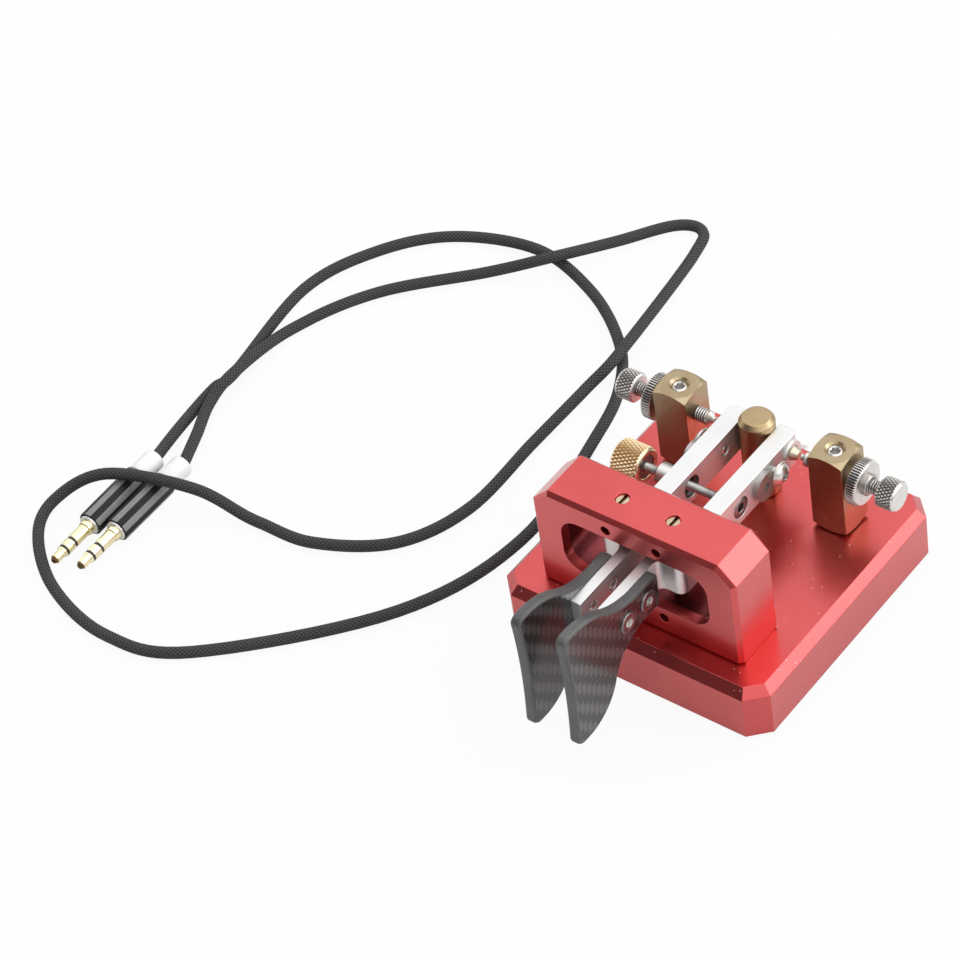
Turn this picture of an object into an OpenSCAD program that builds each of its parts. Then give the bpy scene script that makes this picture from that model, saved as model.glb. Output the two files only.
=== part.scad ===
// Twin lever paddle key with its loose patch cable. Millimetres, +Z up.
// The origin is the middle of the rubber pad's underside. +Y points to the back of the key
// and +X to the right. The finger paddles stand out in front, at -Y.

/* [Base] */
// Side of the square base plate
base_side = 80; // [70:1:100]
// Height of the base plate without its pad
base_height = 15.4; // [13:0.1:20]
// Leg of the flat across each upright corner
base_corner = 5; // [2:0.5:10]
// How far the sloped top edge runs inwards
base_edge_in = 2.2; // [0.5:0.1:4]
// How far the sloped top edge runs down
base_edge_drop = 2.6; // [0.5:0.1:4]
// Thickness of the rubber pad
pad_thick = 1.2; // [0.8:0.1:3]
// Height of the pad that shows under the base
pad_proud = 0.6; // [0.2:0.1:2]
// Margin from the side of the base to the pad
pad_margin = 4; // [2:0.5:10]

/* [Bridge] */
// Width of the bridge that carries the levers
bridge_width = 60.5; // [50:0.5:70]
// Depth of the bridge from front to back
bridge_depth = 16; // [12:0.5:24]
// Height of the bridge above the base
bridge_height = 32.1; // [28:0.1:40]
// Leg of the flat across each top corner
bridge_corner = 5; // [2:0.5:8]
// Leg of the small chamfer round the front and back
bridge_edge = 1.1; // [0.4:0.1:2]
// Distance of the bridge's middle in front of the base's middle
bridge_forward = 24.35; // [20:0.05:28]
// Width of the tunnel that the levers pass through
tunnel_width = 43.6; // [36:0.2:48]
// Height of the tunnel
tunnel_height = 16.8; // [14:0.2:20]
// Corner radius of the tunnel
tunnel_radius = 5.5; // [2:0.5:8]
// Height of the tunnel's floor above the base
tunnel_floor = 8.4; // [7:0.1:12]
// Thickness of the lip at the front of the tunnel
tunnel_lip = 3; // [1:0.5:6]
// How much wider the tunnel is behind its lip, on each side
tunnel_step = 1; // [0:0.1:1.5]

/* [Levers] */
// Distance between the two lever pivots
pivot_spacing = 15; // [13:0.1:20]
// Height of the levers' middle above the base
lever_level = 17.1; // [16:0.1:18]
// Height of a lever bar
lever_height = 9.5; // [7:0.1:11]
// Thickness of a lever's rear bar
rear_thick = 5.2; // [4:0.1:6]
// Length of a lever's rear bar behind its pivot
rear_reach = 49.1; // [44:0.1:52]
// Thickness of a lever's front bar
front_thick = 2.9; // [2:0.1:4]
// Length of a lever's front bar in front of its pivot
front_reach = 26.85; // [24:0.05:32]
// Gap between the two front bars
front_gap = 4.3; // [3:0.1:6]
// Length of a hub along its lever
hub_length = 10; // [8:0.1:12]
// How far a hub stands out beyond its pivot
hub_reach = 4.7; // [3.4:0.1:6]
// Travel of a contact before it closes
contact_gap = 0.6; // [0.2:0.05:1]

/* [Paddles] */
// Thickness of a paddle
paddle_thick = 3.1; // [1.5:0.1:4]
// Distance of a paddle's front edge in front of the base's middle
paddle_front = 70.4; // [60:0.1:75]
// Height of a paddle's top above the lever's middle
paddle_top = 14.4; // [8:0.1:18]
// Depth of a paddle's tip below the lever's middle
paddle_bottom = 22.8; // [14:0.1:28]
// Depth of the hollow in a paddle's front edge
paddle_hollow = 1; // [0.2:0.1:3]

/* [Contacts] */
// Side of a square contact post
post_side = 10; // [8:0.5:14]
// Height of a contact post
post_height = 24.4; // [22:0.1:30]
// Distance of a contact post from the middle of the base
post_out = 23.4; // [20:0.1:28]
// Distance of the posts behind the middle of the base
post_back = 21.5; // [18:0.1:26]
// Diameter of a contact screw
contact_d = 4; // [3:0.5:5]
// Diameter of a contact screw's knob
knob_d = 8.3; // [7:0.1:12]
// Length of a contact screw's knob
knob_length = 5.2; // [4:0.1:10]
// Diameter of a lock nut
lock_nut_d = 12.4; // [9:0.1:16]
// Thickness of a lock nut's rim
lock_nut_rim = 2.9; // [1.5:0.1:4]
// Height of the stop post between the levers
stop_height = 24.9; // [20:0.1:28]

/* [Tension] */
// Diameter of the long tension screw
tension_d = 2.5; // [2:0.5:4]
// Diameter of the brass tension nut
tension_nut_d = 10.4; // [8:0.1:14]
// Length of the brass tension nut
tension_nut_length = 8.2; // [5:0.1:12]
// Gap between the two ring magnets
magnet_gap = 4.8; // [4:0.1:8]
// Diameter of a ring magnet
magnet_d = 6.4; // [5:0.1:8]
// Distance of the tension screw behind the pivots
tension_reach = 23.5; // [20:0.1:28]

/* [Cable] */
// Diameter of the braided cable
cable_d = 3.2; // [2.5:0.1:4]
// Width of a plug's barrel across its flats
barrel_width = 6.8; // [6:0.1:9]
// Length of a plug's barrel
barrel_length = 20; // [14:0.5:30]
// Length of a plug's rear sleeve
sleeve_length = 8; // [5:0.5:12]
// Diameter of a plug's pin
pin_d = 3.5; // [2.5:0.1:6.5]
// Length of a plug's pin
pin_length = 14; // [11:0.5:30]

/* [Hidden] */

$fn = 64;
// Sides of the widest arcs
wide_fn = 180;

// Clearances: screw in a tapped hole, piece in its seat, turning fit, screw in a through hole
thread_gap = 0.03;
seat_gap = 0.02;
run_gap = 0.05;
through_gap = 0.2;
// End play of a lever between its pivot screws
end_play = 0.1;
// Free space past the end of a screw or pin in its hole
seat_free = 0.25;
// Extra length of a cutting shape past the face it cuts
over = 1;
// A length greater than the whole key
long = 200;

red = [0.75, 0.16, 0.17];
silver = [0.86, 0.86, 0.88];
steel = [0.62, 0.63, 0.65];
brass = [0.76, 0.6, 0.33];
carbon = [0.14, 0.14, 0.15];
black = [0.06, 0.06, 0.06];
white = [0.92, 0.92, 0.92];
copper = [0.72, 0.42, 0.26];

// Levels
base_top = pad_proud + base_height;
bridge_top = base_top + bridge_height;
lever_z = base_top + lever_level;
lever_top = lever_z + lever_height / 2;
lever_bottom = lever_z - lever_height / 2;
tunnel_z = base_top + tunnel_floor + tunnel_height / 2;
tunnel_roof = base_top + tunnel_floor + tunnel_height;

// Wiring pocket in the underside of the base
pocket_width = 64;
pocket_front = 13;
pocket_back = 31;
pocket_roof = 9;

// Screws that hold the bridge, the posts and the stop post from below
frame_screw_r = 2;
frame_head_r = 3.5;
frame_head_height = 3;
frame_screw_grip = 9;
frame_socket_r = 1.6;
frame_socket_depth = 1.5;
bridge_screw_x = (bridge_width / 2 + tunnel_width / 2 + tunnel_step) / 2;

// Pivots
pivot_x = pivot_spacing / 2;
pivot_y = -bridge_forward;
pivot_screw_r = 1.8;
pivot_pin_r = 1;
pivot_sink = 0.5;
pivot_slot = 0.8;
pivot_slot_depth = 0.9;
bearing_r = 2.5;
bearing_length = 2.5;
pivot_pin_length = bearing_length - seat_free;
lock_screw_r = 1.3;
lock_screw_sink = 2.2;
lock_screw_drop = 4.3;
lock_screw_rise = 5.1;
lock_socket_r = 0.65;
lock_socket_depth = 1.5;
lock_upper_z = bridge_top - lock_screw_drop;
lock_lower_z = base_top + lock_screw_rise;
bridge_front_y = pivot_y - bridge_depth / 2;

// Lever outline
rear_offset = 0.15;
rear_inner = pivot_x - rear_thick / 2 - rear_offset;
rear_outer = rear_inner + rear_thick;
front_inner = front_gap / 2;
front_outer = front_inner + front_thick;
hub_outer = pivot_x + hub_reach;
hub_front = pivot_y - hub_length / 2;
hub_back = pivot_y + hub_length / 2;
hub_round = 2.4;
fillet = 2.2;
rear_end = pivot_y + rear_reach;
rear_round = 1.5;

// Stop post, just clear of both levers
stop_r = rear_inner - run_gap;
stop_chamfer = 1.3;
stop_foot = 0.6;

// Contact parts on a lever
boss_r = 3.4;
boss_height = 0.6;
button_r = 2;
button_tip_r = 1.25;
button_proud = 1.9;
button_root = 2.4;
button_face = rear_outer + boss_height + button_proud;

// Trim disc and its flanged screw on a lever's outer side, between tension axis and contact button
disc_shift = 2;
disc_r = 4.1;
disc_height = 1.5;
dimple_r = 1.1;
dimple_depth = 0.9;
trim_clear = 0.1;
trim_screw_r = 1.5;
trim_spacer_r = 1.25;
trim_flange_r = 3.4;
trim_flange_height = 0.6;
trim_dome_r = 2.9;
trim_dome_height = 1.6;
trim_dome_bend = 3.5;
trim_socket_r = 1.1;

// Paddle outline, measured forwards from the middle of the base
tail_half = 5.3;
tail_rear = 33.3;
tail_round = 1.6;
ramp_lead = 3;
arc_lap = 0.05;
upper_ramp_start = 40;
upper_flat = 0.2;
lower_ramp_start = 40.1;
lower_flat = 1.6;
paddle_round = 2.7;
paddle_screw_u = [38.3, 46.6];
paddle_screw_r = 1.5;
paddle_head_r = 2.9;
paddle_head_height = 0.5;
paddle_socket_r = 1.15;
paddle_socket_depth = 1.1;

// Posts
post_round_r = 5.05;
post_corner_r = post_side / sqrt(2);
post_corner_drop = 1.1;
clamp_r = 2;
clamp_sink = 0.9;
clamp_bevel = 0.7;
clamp_socket_r = 1.15;
clamp_socket_depth = 1.6;
clamp_free = 0.3;
washer_r = 4.1;
washer_thick = 0.5;
bush_r = 3;
contact_r = contact_d / 2;
contact_tip_x = button_face + contact_gap;
contact_tip_length = 1.6;
contact_tip_r = 0.9;
contact_tip_straight = 0.6;
post_outer = post_out + post_side / 2;
lock_boss_r = 3.2;
lock_boss_length = 1.1;
lock_collar_r = 2.9;
lock_collar_length = 1.2;
lock_teeth = 54;
lock_tooth_depth = 0.45;
lock_free = 0.02;
knob_offset = 3.1;
knob_start = post_outer + lock_boss_length + lock_nut_rim + lock_collar_length + knob_offset;
knob_end = knob_start + knob_length;
knob_bevel = 0.5;
knob_r = knob_d / 2;

// Tension parts
tension_y = pivot_y + tension_reach;
disc_y = (tension_y + post_back) / 2 - disc_shift;
trim_screw_y = disc_y + disc_r + trim_spacer_r + trim_clear;
tension_r = tension_d / 2;
tension_head_r = 2.75;
tension_head_height = 3;
tension_socket_r = 1.3;
tension_socket_depth = 1.8;
magnet_r = magnet_d / 2;
magnet_bore_r = 2.1;
magnet_seat_depth = 2.3;
magnet_proud = 4.05;
sweep_hole_r = 2.5;
sweep_bore_r = 3.1;
sweep_bore_depth = 1.2;
magnet_face = rear_outer + magnet_proud;
nut_magnet_length = 3;
nut_magnet_sink = 0.3;
nut_face = magnet_face + magnet_gap - nut_magnet_sink;
nut_bevel = 0.6;
tension_tail = 0.6;

// Output jack
jack_z = 8.2;
jack_r = 4;
jack_length = 10.5;
jack_wall = 1.5;
jack_neck_r = 3;
jack_nut_r = 4.8;
jack_nut_length = 1.8;
jack_neck_proud = 1.6;
jack_bore_r = pin_d / 2 + run_gap;
lug_size = 0.8;
lug_length = 1.5;
lug_spacing = 2.2;
lug_drop = 2.6;
wire_r = 0.5;
ring_r = 4.4;
ring_thick = 0.5;
wire_lap = 0.3;

// Plugs
plug_sides = 12;
plug_z = barrel_width / 2;
pin_r = pin_d / 2;
collar_length = 1.5;
collar_r = 2.5;
sleeve_r = 3.1;
tip_length = 4.2;
tip_neck_r = 1.15;
tip_ball_r = 1.5;
tip_ball_start = 1;
tip_ball_end = 1.8;
tip_neck_start = 3.4;
tip_end_r = 0.7;
plug_a_rear = [-155.2, -41];
plug_b_rear = [-147, -39];
plug_a_yaw = 2;
plug_b_yaw = 1;
plug_length = pin_length + collar_length + barrel_length + sleeve_length;

// Cable route from plug A to plug B. Most points lie on the floor. The cable climbs
// over the two plugs once and over itself three times.
cable_r = cable_d / 2;
cable_lift = 0.1;
cable_rest = cable_r + cable_lift;
cable_sides = 8;
cable_steps = 2;
cable_route = [
    [-155.2, -41, 3.4], [-158, -28, 2.4], [-160.2, -11.3, 1.7], [-159.3, -2.7, 1.7], [-164, 33.3, 1.7],
    [-155.6, 56.2, 1.7], [-140, 72, 1.7], [-116, 79, 1.7], [-93, 72.4, 1.7], [-74.8, 60.1, 1.7],
    [-64.3, 46.6, 1.7], [-58.1, 28, 1.7], [-52.2, -14.3, 1.7], [-64.8, -51.2, 1.7],
    [-101.7, -89.2, 1.7], [-124.9, -96.3, 1.7], [-148.3, -90.7, 1.7], [-165.2, -78.1, 1.7],
    [-169.3, -66.3, 2.8], [-159.1, -55.6, 8.2], [-134.8, -47.9, 8.1], [-118.4, -44.6, 1.9],
    [-99.6, -43.1, 1.7], [-80.1, -31.9, 1.7], [-71, -12, 1.7], [-71, 16.8, 1.7], [-70, 38.7, 3],
    [-68.6, 53.2, 5.4], [-76, 97, 1.7], [-79.8, 107.7, 1.7], [-88, 106, 1.7], [-98, 92, 2.4],
    [-107, 76, 5.4], [-122, 64, 2.4], [-144.6, 42.6, 1.7], [-156.4, 18.4, 1.9], [-156.9, -5.3, 4.8],
    [-156.4, -16.7, 3.1], [-151.8, -27.6, 3], [-147, -39, 3.4]
];

// A flat outline: a square of the given half side with its four corners cut off
module eight_sided(half, corner) {
    polygon([
        [half - corner, -half], [half, corner - half], [half, half - corner], [half - corner, half],
        [corner - half, half], [-half, half - corner], [-half, corner - half], [corner - half, -half]
    ]);
}

// A flat rectangle with round corners, centred on the origin
module round_rectangle(width, height, radius) {
    square([width - 2 * radius, height], center = true);
    square([width, height - 2 * radius], center = true);
    for (u = [-1, 1], v = [-1, 1])
        translate([u * (width / 2 - radius), v * (height / 2 - radius)]) circle(radius);
}

// The corner between two sides at a right angle, filled to a hollow curve
module corner_fill(radius) {
    difference() {
        square(radius);
        translate([radius, radius]) circle(radius);
    }
}

// The area under an edge that starts level, rises in a hollow arc and a round one, and ends level.
// It reaches down below the edge's start by the given depth. The arcs and the level stretches lap
// a little, so that each crosses the next at a clear angle.
module s_ramp(run, rise, depth) {
    full = rise + 2 * arc_lap;
    bend = (run * run + full * full - arc_lap * arc_lap) / (4 * (full - arc_lap));
    below = max(over, depth + rise - bend);
    difference() {
        union() {
            translate([-ramp_lead, -depth]) square([ramp_lead + over, depth]);
            translate([0, -depth]) square([run / 2, depth + rise / 2 + over]);
        }
        translate([0, bend - arc_lap]) circle(bend, $fn = wide_fn);
    }
    intersection() {
        translate([run / 2 - over, -depth]) square([run / 2 + over, depth + rise]);
        union() {
            translate([run, rise - bend + arc_lap]) circle(bend, $fn = wide_fn);
            translate([run / 2, -depth]) square([run / 2, below]);
        }
    }
}

// Round bars along +X, +Y and +Z
module bar_x(radius, length) {
    rotate([0, 90, 0]) cylinder(r = radius, h = length);
}

module bar_y(radius, length) {
    rotate([-90, 0, 0]) cylinder(r = radius, h = length);
}

// A six-sided key socket along +Z
module socket(radius, depth) {
    cylinder(r = radius, h = depth, $fn = 6);
}

module left_side() {
    mirror([1, 0, 0]) children();
}

module both_sides() {
    children();
    left_side() children();
}

// A wedge that slopes the top edge of the base at a given distance from its middle
module base_edge_cut(distance) {
    translate([distance - base_edge_in, 0, base_top])
        rotate([0, atan2(base_edge_drop, base_edge_in), 0])
            translate([0, 0, base_side / 2]) cube([base_side, 2 * base_side, base_side], center = true);
}

module base() {
    half = base_side / 2;
    corner_distance = (2 * half - base_corner) / sqrt(2);
    color(red) difference() {
        translate([0, 0, pad_proud]) linear_extrude(base_height) eight_sided(half, base_corner);
        for (turn = [0 : 3]) {
            rotate(90 * turn) base_edge_cut(half);
            rotate(90 * turn + 45) base_edge_cut(corner_distance);
        }
        linear_extrude(pad_thick) eight_sided(half - pad_margin + seat_gap, base_corner);
        translate([-pocket_width / 2, pocket_front, 0])
            cube([pocket_width, pocket_back - pocket_front, pocket_roof]);
        both_sides() translate([bridge_screw_x, pivot_y, 0]) {
            cylinder(r = frame_head_r + through_gap, h = pad_thick + frame_head_height + over);
            cylinder(r = frame_screw_r + through_gap, h = long);
        }
        both_sides() translate([post_out, post_back, 0]) cylinder(r = bush_r + seat_gap, h = long);
        translate([0, post_back, 0]) cylinder(r = frame_screw_r + through_gap, h = long);
        translate([0, half - jack_wall - jack_length, jack_z]) bar_y(jack_r + seat_gap, jack_length);
        translate([0, 0, jack_z]) bar_y(jack_neck_r + thread_gap, long);
    }
}

module rubber_pad() {
    color(black) linear_extrude(pad_thick) eight_sided(base_side / 2 - pad_margin, base_corner);
}

module bridge_outline() {
    half = bridge_width / 2;
    polygon([
        [-half, 0], [half, 0], [half, bridge_height - bridge_corner],
        [half - bridge_corner, bridge_height], [bridge_corner - half, bridge_height],
        [-half, bridge_height - bridge_corner]
    ]);
}

// Small chamfers along the front and back edges of one outer face of the bridge. The face is
// given by its distance from the middle of the bridge's foot and by the turn of its normal.
module bridge_edge_cuts(turn, distance) {
    translate([0, pivot_y, base_top]) rotate([0, -turn, 0])
        for (side = [-1, 1])
            translate([distance, side * bridge_depth / 2, 0]) rotate([0, 0, 45])
                cube([bridge_edge * sqrt(2), bridge_edge * sqrt(2), long], center = true);
}

module tunnel(width, height, radius, from_y, to_y) {
    translate([0, to_y, tunnel_z]) rotate([90, 0, 0])
        linear_extrude(to_y - from_y) round_rectangle(width, height, radius);
}

module bridge() {
    half = bridge_width / 2;
    slant = (half + bridge_height - bridge_corner) / sqrt(2);
    back_y = pivot_y + bridge_depth / 2;
    lock_length = bridge_depth / 2 + over;
    color(red) difference() {
        translate([0, back_y, base_top]) rotate([90, 0, 0]) linear_extrude(bridge_depth) bridge_outline();
        bridge_edge_cuts(0, half);
        bridge_edge_cuts(180, half);
        bridge_edge_cuts(90, bridge_height);
        bridge_edge_cuts(45, slant);
        bridge_edge_cuts(135, slant);
        tunnel(tunnel_width, tunnel_height, tunnel_radius, bridge_front_y - over, back_y);
        tunnel(tunnel_width + 2 * tunnel_step, tunnel_height + 2 * tunnel_step,
            tunnel_radius + tunnel_step, bridge_front_y + tunnel_lip, back_y + over);
        both_sides() {
            translate([pivot_x, pivot_y, 0]) cylinder(r = pivot_screw_r + thread_gap, h = long);
            translate([bridge_screw_x, pivot_y, 0])
                cylinder(r = frame_screw_r + thread_gap, h = base_top + frame_screw_grip + over);
            for (level = [lock_upper_z, lock_lower_z])
                translate([pivot_x, bridge_front_y - over, level])
                    bar_y(lock_screw_r + thread_gap, lock_length);
        }
    }
}

// A cap screw that stands on its head, from the head's underside at z = 0
module frame_screw(grip) {
    difference() {
        union() {
            cylinder(r = frame_screw_r, h = grip);
            translate([0, 0, -frame_head_height]) cylinder(r = frame_head_r, h = frame_head_height);
        }
        translate([0, 0, -frame_head_height - over]) socket(frame_socket_r, over + frame_socket_depth);
    }
}

module bridge_screws() {
    seat = pad_thick + frame_head_height + over;
    color(steel) both_sides() translate([bridge_screw_x, pivot_y, seat])
        frame_screw(base_top + frame_screw_grip - seat);
}

// A slotted pivot screw, its pin's end at z = 0 and its slot at the top
module pivot_screw(length) {
    difference() {
        union() {
            cylinder(r = pivot_pin_r, h = pivot_pin_length + over);
            translate([0, 0, pivot_pin_length + end_play]) cylinder(r = pivot_screw_r, h = length);
        }
        translate([0, 0, pivot_pin_length + end_play + length])
            cube([pivot_slot, 2 * pivot_screw_r + over, 2 * pivot_slot_depth], center = true);
    }
}

module upper_pivot_screws() {
    color(brass) both_sides() translate([pivot_x, pivot_y, lever_top - pivot_pin_length])
        pivot_screw(bridge_top - pivot_sink - lever_top - end_play);
}

module lower_pivot_screws() {
    color(brass) both_sides() translate([pivot_x, pivot_y, lever_bottom + pivot_pin_length])
        mirror([0, 0, 1]) pivot_screw(lever_bottom - end_play - base_top - pivot_sink);
}

module pivot_lock_screws() {
    length = bridge_depth / 2 - lock_screw_sink - pivot_screw_r - run_gap;
    color(steel) both_sides() for (level = [lock_upper_z, lock_lower_z])
        translate([pivot_x, bridge_front_y + lock_screw_sink, level]) difference() {
            bar_y(lock_screw_r, length);
            rotate([-90, 0, 0]) translate([0, 0, -over]) socket(lock_socket_r, over + lock_socket_depth);
        }
}

module stop_post() {
    color(brass) difference() {
        translate([0, post_back, base_top]) rotate_extrude() polygon([
            [0, 0], [stop_r - stop_foot, 0], [stop_r, stop_foot],
            [stop_r, stop_height - stop_chamfer], [stop_r - stop_chamfer, stop_height], [0, stop_height]
        ]);
        translate([0, post_back, 0])
            cylinder(r = frame_screw_r + thread_gap, h = base_top + frame_screw_grip + over);
    }
}

module stop_screw() {
    seat = pocket_roof - ring_thick;
    color(steel) translate([0, post_back, seat]) frame_screw(base_top + frame_screw_grip - seat);
}

// The right contact post. Its ends are turned, so each face ends in a curve.
module contact_post() {
    top = base_top + washer_thick + post_height;
    color(brass) difference() {
        translate([post_out, post_back, base_top + washer_thick]) intersection() {
            translate([0, 0, post_height / 2]) cube([post_side, post_side, post_height], center = true);
            rotate_extrude() polygon([
                [0, 0], [post_round_r, 0], [post_corner_r + seat_gap, post_corner_drop],
                [post_corner_r + seat_gap, post_height - post_corner_drop],
                [post_round_r, post_height], [0, post_height]
            ]);
        }
        translate([0, post_back, lever_z]) bar_x(contact_r + thread_gap, long);
        translate([post_out, post_back, lever_z]) cylinder(r = clamp_r + thread_gap, h = long);
        translate([post_out, post_back, top - clamp_bevel])
            cylinder(r1 = clamp_r, r2 = clamp_r + clamp_bevel, h = clamp_bevel);
        translate([post_out, post_back, 0])
            cylinder(r = frame_screw_r + thread_gap, h = base_top + frame_screw_grip + over);
    }
}

module left_post() left_side() contact_post();

module right_post() contact_post();

// Insulating parts that keep a post off the metal of the base, above and below
module post_insulators() {
    color(white) both_sides() translate([post_out, post_back, 0]) difference() {
        union() {
            translate([0, 0, pocket_roof]) cylinder(r = bush_r, h = base_top - pocket_roof);
            translate([0, 0, base_top]) cylinder(r = washer_r, h = washer_thick);
            translate([0, 0, pocket_roof - washer_thick]) cylinder(r = washer_r, h = washer_thick);
        }
        cylinder(r = frame_screw_r + run_gap, h = long);
    }
}

module post_screws() {
    seat = pocket_roof - washer_thick - ring_thick;
    color(steel) both_sides() translate([post_out, post_back, seat])
        frame_screw(base_top + frame_screw_grip - seat);
}

module contact_clamp_screws() {
    bottom = lever_z + contact_r + clamp_free;
    top = base_top + washer_thick + post_height - clamp_sink;
    color(steel) both_sides() translate([post_out, post_back, bottom]) difference() {
        cylinder(r = clamp_r, h = top - bottom);
        translate([0, 0, top - bottom - clamp_socket_depth])
            socket(clamp_socket_r, clamp_socket_depth + over);
    }
}

module output_jack() {
    face = base_side / 2 - jack_wall;
    color(black) translate([0, face, jack_z]) difference() {
        union() {
            translate([0, -jack_length, 0]) bar_y(jack_r, jack_length);
            bar_y(jack_neck_r, jack_wall + jack_neck_proud);
            for (side = [-1 : 1])
                translate([side * lug_spacing, -jack_length - lug_length / 2, -lug_drop])
                    cube([lug_size, lug_length, lug_size], center = true);
        }
        translate([0, -jack_length - over, 0]) bar_y(jack_bore_r, long);
    }
}

module jack_nut() {
    color(steel) translate([0, base_side / 2, jack_z]) difference() {
        bar_y(jack_nut_r, jack_nut_length);
        translate([0, -over, 0]) bar_y(jack_neck_r + thread_gap, jack_nut_length + 2 * over);
    }
}

// A wire from a ring under a screw head to a lug of the jack. The ring's middle is given, the way
// from there to the wire, and which lug it goes to.
module wire(middle, way, lug) {
    lug_end = base_side / 2 - jack_wall - jack_length - lug_length;
    start = middle + (ring_r - wire_lap) * way;
    run = [lug * lug_spacing, lug_end - wire_r - run_gap, jack_z - lug_drop] - start;
    translate(middle) difference() {
        cylinder(r = ring_r, h = ring_thick, center = true);
        cylinder(r = frame_screw_r + run_gap, h = ring_thick + over, center = true);
    }
    translate(start) rotate([0, acos(run[2] / norm(run)), atan2(run[1], run[0])])
        cylinder(r = wire_r, h = norm(run));
}

module wiring() {
    post_ring = pocket_roof - washer_thick - ring_thick / 2;
    stop_ring = pocket_roof - ring_thick / 2;
    color(copper) {
        wire([-post_out, post_back, post_ring], [1, 0, 0], -1);
        wire([post_out, post_back, post_ring], [-1, 0, 0], 1);
        wire([0, post_back, stop_ring], [0, 1, 0], 0);
    }
}

// Top view of the right lever: rear bar, hub, front bar and the curves that blend them
module lever_outline() {
    translate([rear_inner, pivot_y]) square([rear_thick, rear_reach - rear_round]);
    translate([rear_inner, pivot_y]) square([rear_thick - rear_round, rear_reach]);
    translate([rear_outer - rear_round, rear_end - rear_round]) circle(rear_round);
    translate([front_inner, pivot_y - front_reach]) square([front_thick, front_reach]);
    translate([front_inner + hub_outer, 2 * pivot_y] / 2)
        round_rectangle(hub_outer - front_inner, hub_length, hub_round);
    translate([front_inner, hub_front]) square([hub_round, hub_length / 2]);
    translate([front_outer, hub_front]) mirror([0, 1]) corner_fill(fillet);
    translate([rear_outer, hub_back]) corner_fill(fillet);
    translate([rear_inner, hub_back]) mirror([1, 0]) corner_fill(fillet);
}

// The right lever before its tension hole is cut
module plain_lever() {
    difference() {
        union() {
            translate([0, 0, lever_bottom]) linear_extrude(lever_height) lever_outline();
            translate([rear_outer - over, post_back, lever_z]) bar_x(boss_r, over + boss_height);
        }
        translate([pivot_x, pivot_y, 0]) cylinder(r = pivot_pin_r + through_gap, h = long);
        translate([pivot_x, pivot_y, lever_top - bearing_length])
            cylinder(r = bearing_r + seat_gap, h = bearing_length + over);
        translate([pivot_x, pivot_y, lever_bottom - over])
            cylinder(r = bearing_r + seat_gap, h = bearing_length + over);
        for (u = paddle_screw_u)
            translate([0, -u, lever_z]) bar_x(paddle_screw_r + thread_gap, front_outer + over);
        translate([0, trim_screw_y, lever_z]) bar_x(trim_screw_r + thread_gap, rear_outer + over);
        translate([button_face - button_proud - button_root, post_back, lever_z])
            bar_x(button_r + seat_gap, button_root + over);
    }
}

module right_lever() {
    color(silver) difference() {
        plain_lever();
        translate([rear_inner - over, tension_y, lever_z]) bar_x(tension_r + thread_gap, long);
        translate([rear_outer - tension_head_height, tension_y, lever_z])
            bar_x(tension_head_r + through_gap, tension_head_height + over);
    }
}

module left_lever() {
    color(silver) left_side() difference() {
        plain_lever();
        translate([rear_inner - over, tension_y, lever_z]) bar_x(sweep_hole_r, long);
        translate([rear_inner - over, tension_y, lever_z]) bar_x(sweep_bore_r, over + sweep_bore_depth);
        translate([rear_outer - magnet_seat_depth, tension_y, lever_z])
            bar_x(magnet_r + seat_gap, magnet_seat_depth + over);
    }
}

// Two bearing rings pressed into the right hub
module bearings() {
    color(brass) for (bottom = [lever_top - bearing_length, lever_bottom])
        translate([pivot_x, pivot_y, bottom]) difference() {
            cylinder(r = bearing_r, h = bearing_length);
            translate([0, 0, -over]) cylinder(r = pivot_pin_r + run_gap, h = bearing_length + 2 * over);
        }
}

module left_bearings() left_side() bearings();

module right_bearings() bearings();

// One edge of a paddle in side view, drawn upwards from just below the lever's middle line. The
// first axis runs forwards.
module paddle_half(ramp_start, ramp_end, height) {
    nose = paddle_front - paddle_round;
    tail = tail_rear + tail_round;
    translate([tail, -over]) square([ramp_start - ramp_lead / 2 - tail, tail_half + over]);
    translate([tail_rear, -over]) square([tail_round, tail_half - tail_round + over]);
    translate([tail, tail_half - tail_round]) circle(tail_round);
    translate([ramp_start, tail_half])
        s_ramp(ramp_end - ramp_start, height - tail_half, tail_half + over);
    translate([ramp_end - arc_lap, -over]) square([nose - ramp_end + arc_lap, height + over]);
    translate([ramp_end - arc_lap, -over])
        square([paddle_front - ramp_end + arc_lap, height - paddle_round + over]);
    translate([nose, height - paddle_round]) circle(paddle_round);
}

// Side view of a paddle, with a slightly hollow front edge
module paddle_outline() {
    nose = paddle_front - paddle_round;
    chord = paddle_top + paddle_bottom;
    hollow_r = (chord * chord / 4 + paddle_hollow * paddle_hollow) / (2 * paddle_hollow);
    difference() {
        union() {
            paddle_half(upper_ramp_start, nose - upper_flat, paddle_top);
            mirror([0, 1]) paddle_half(lower_ramp_start, nose - lower_flat, paddle_bottom);
        }
        translate([paddle_front - paddle_hollow + hollow_r, (paddle_top - paddle_bottom) / 2])
            circle(hollow_r, $fn = wide_fn);
    }
}

module paddle() {
    color(carbon) difference() {
        translate([front_outer, 0, lever_z]) rotate([90, 0, 90])
            linear_extrude(paddle_thick) mirror([1, 0]) paddle_outline();
        for (u = paddle_screw_u)
            translate([0, -u, lever_z]) bar_x(paddle_screw_r + through_gap, long);
    }
}

module left_paddle() left_side() paddle();

module right_paddle() paddle();

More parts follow.
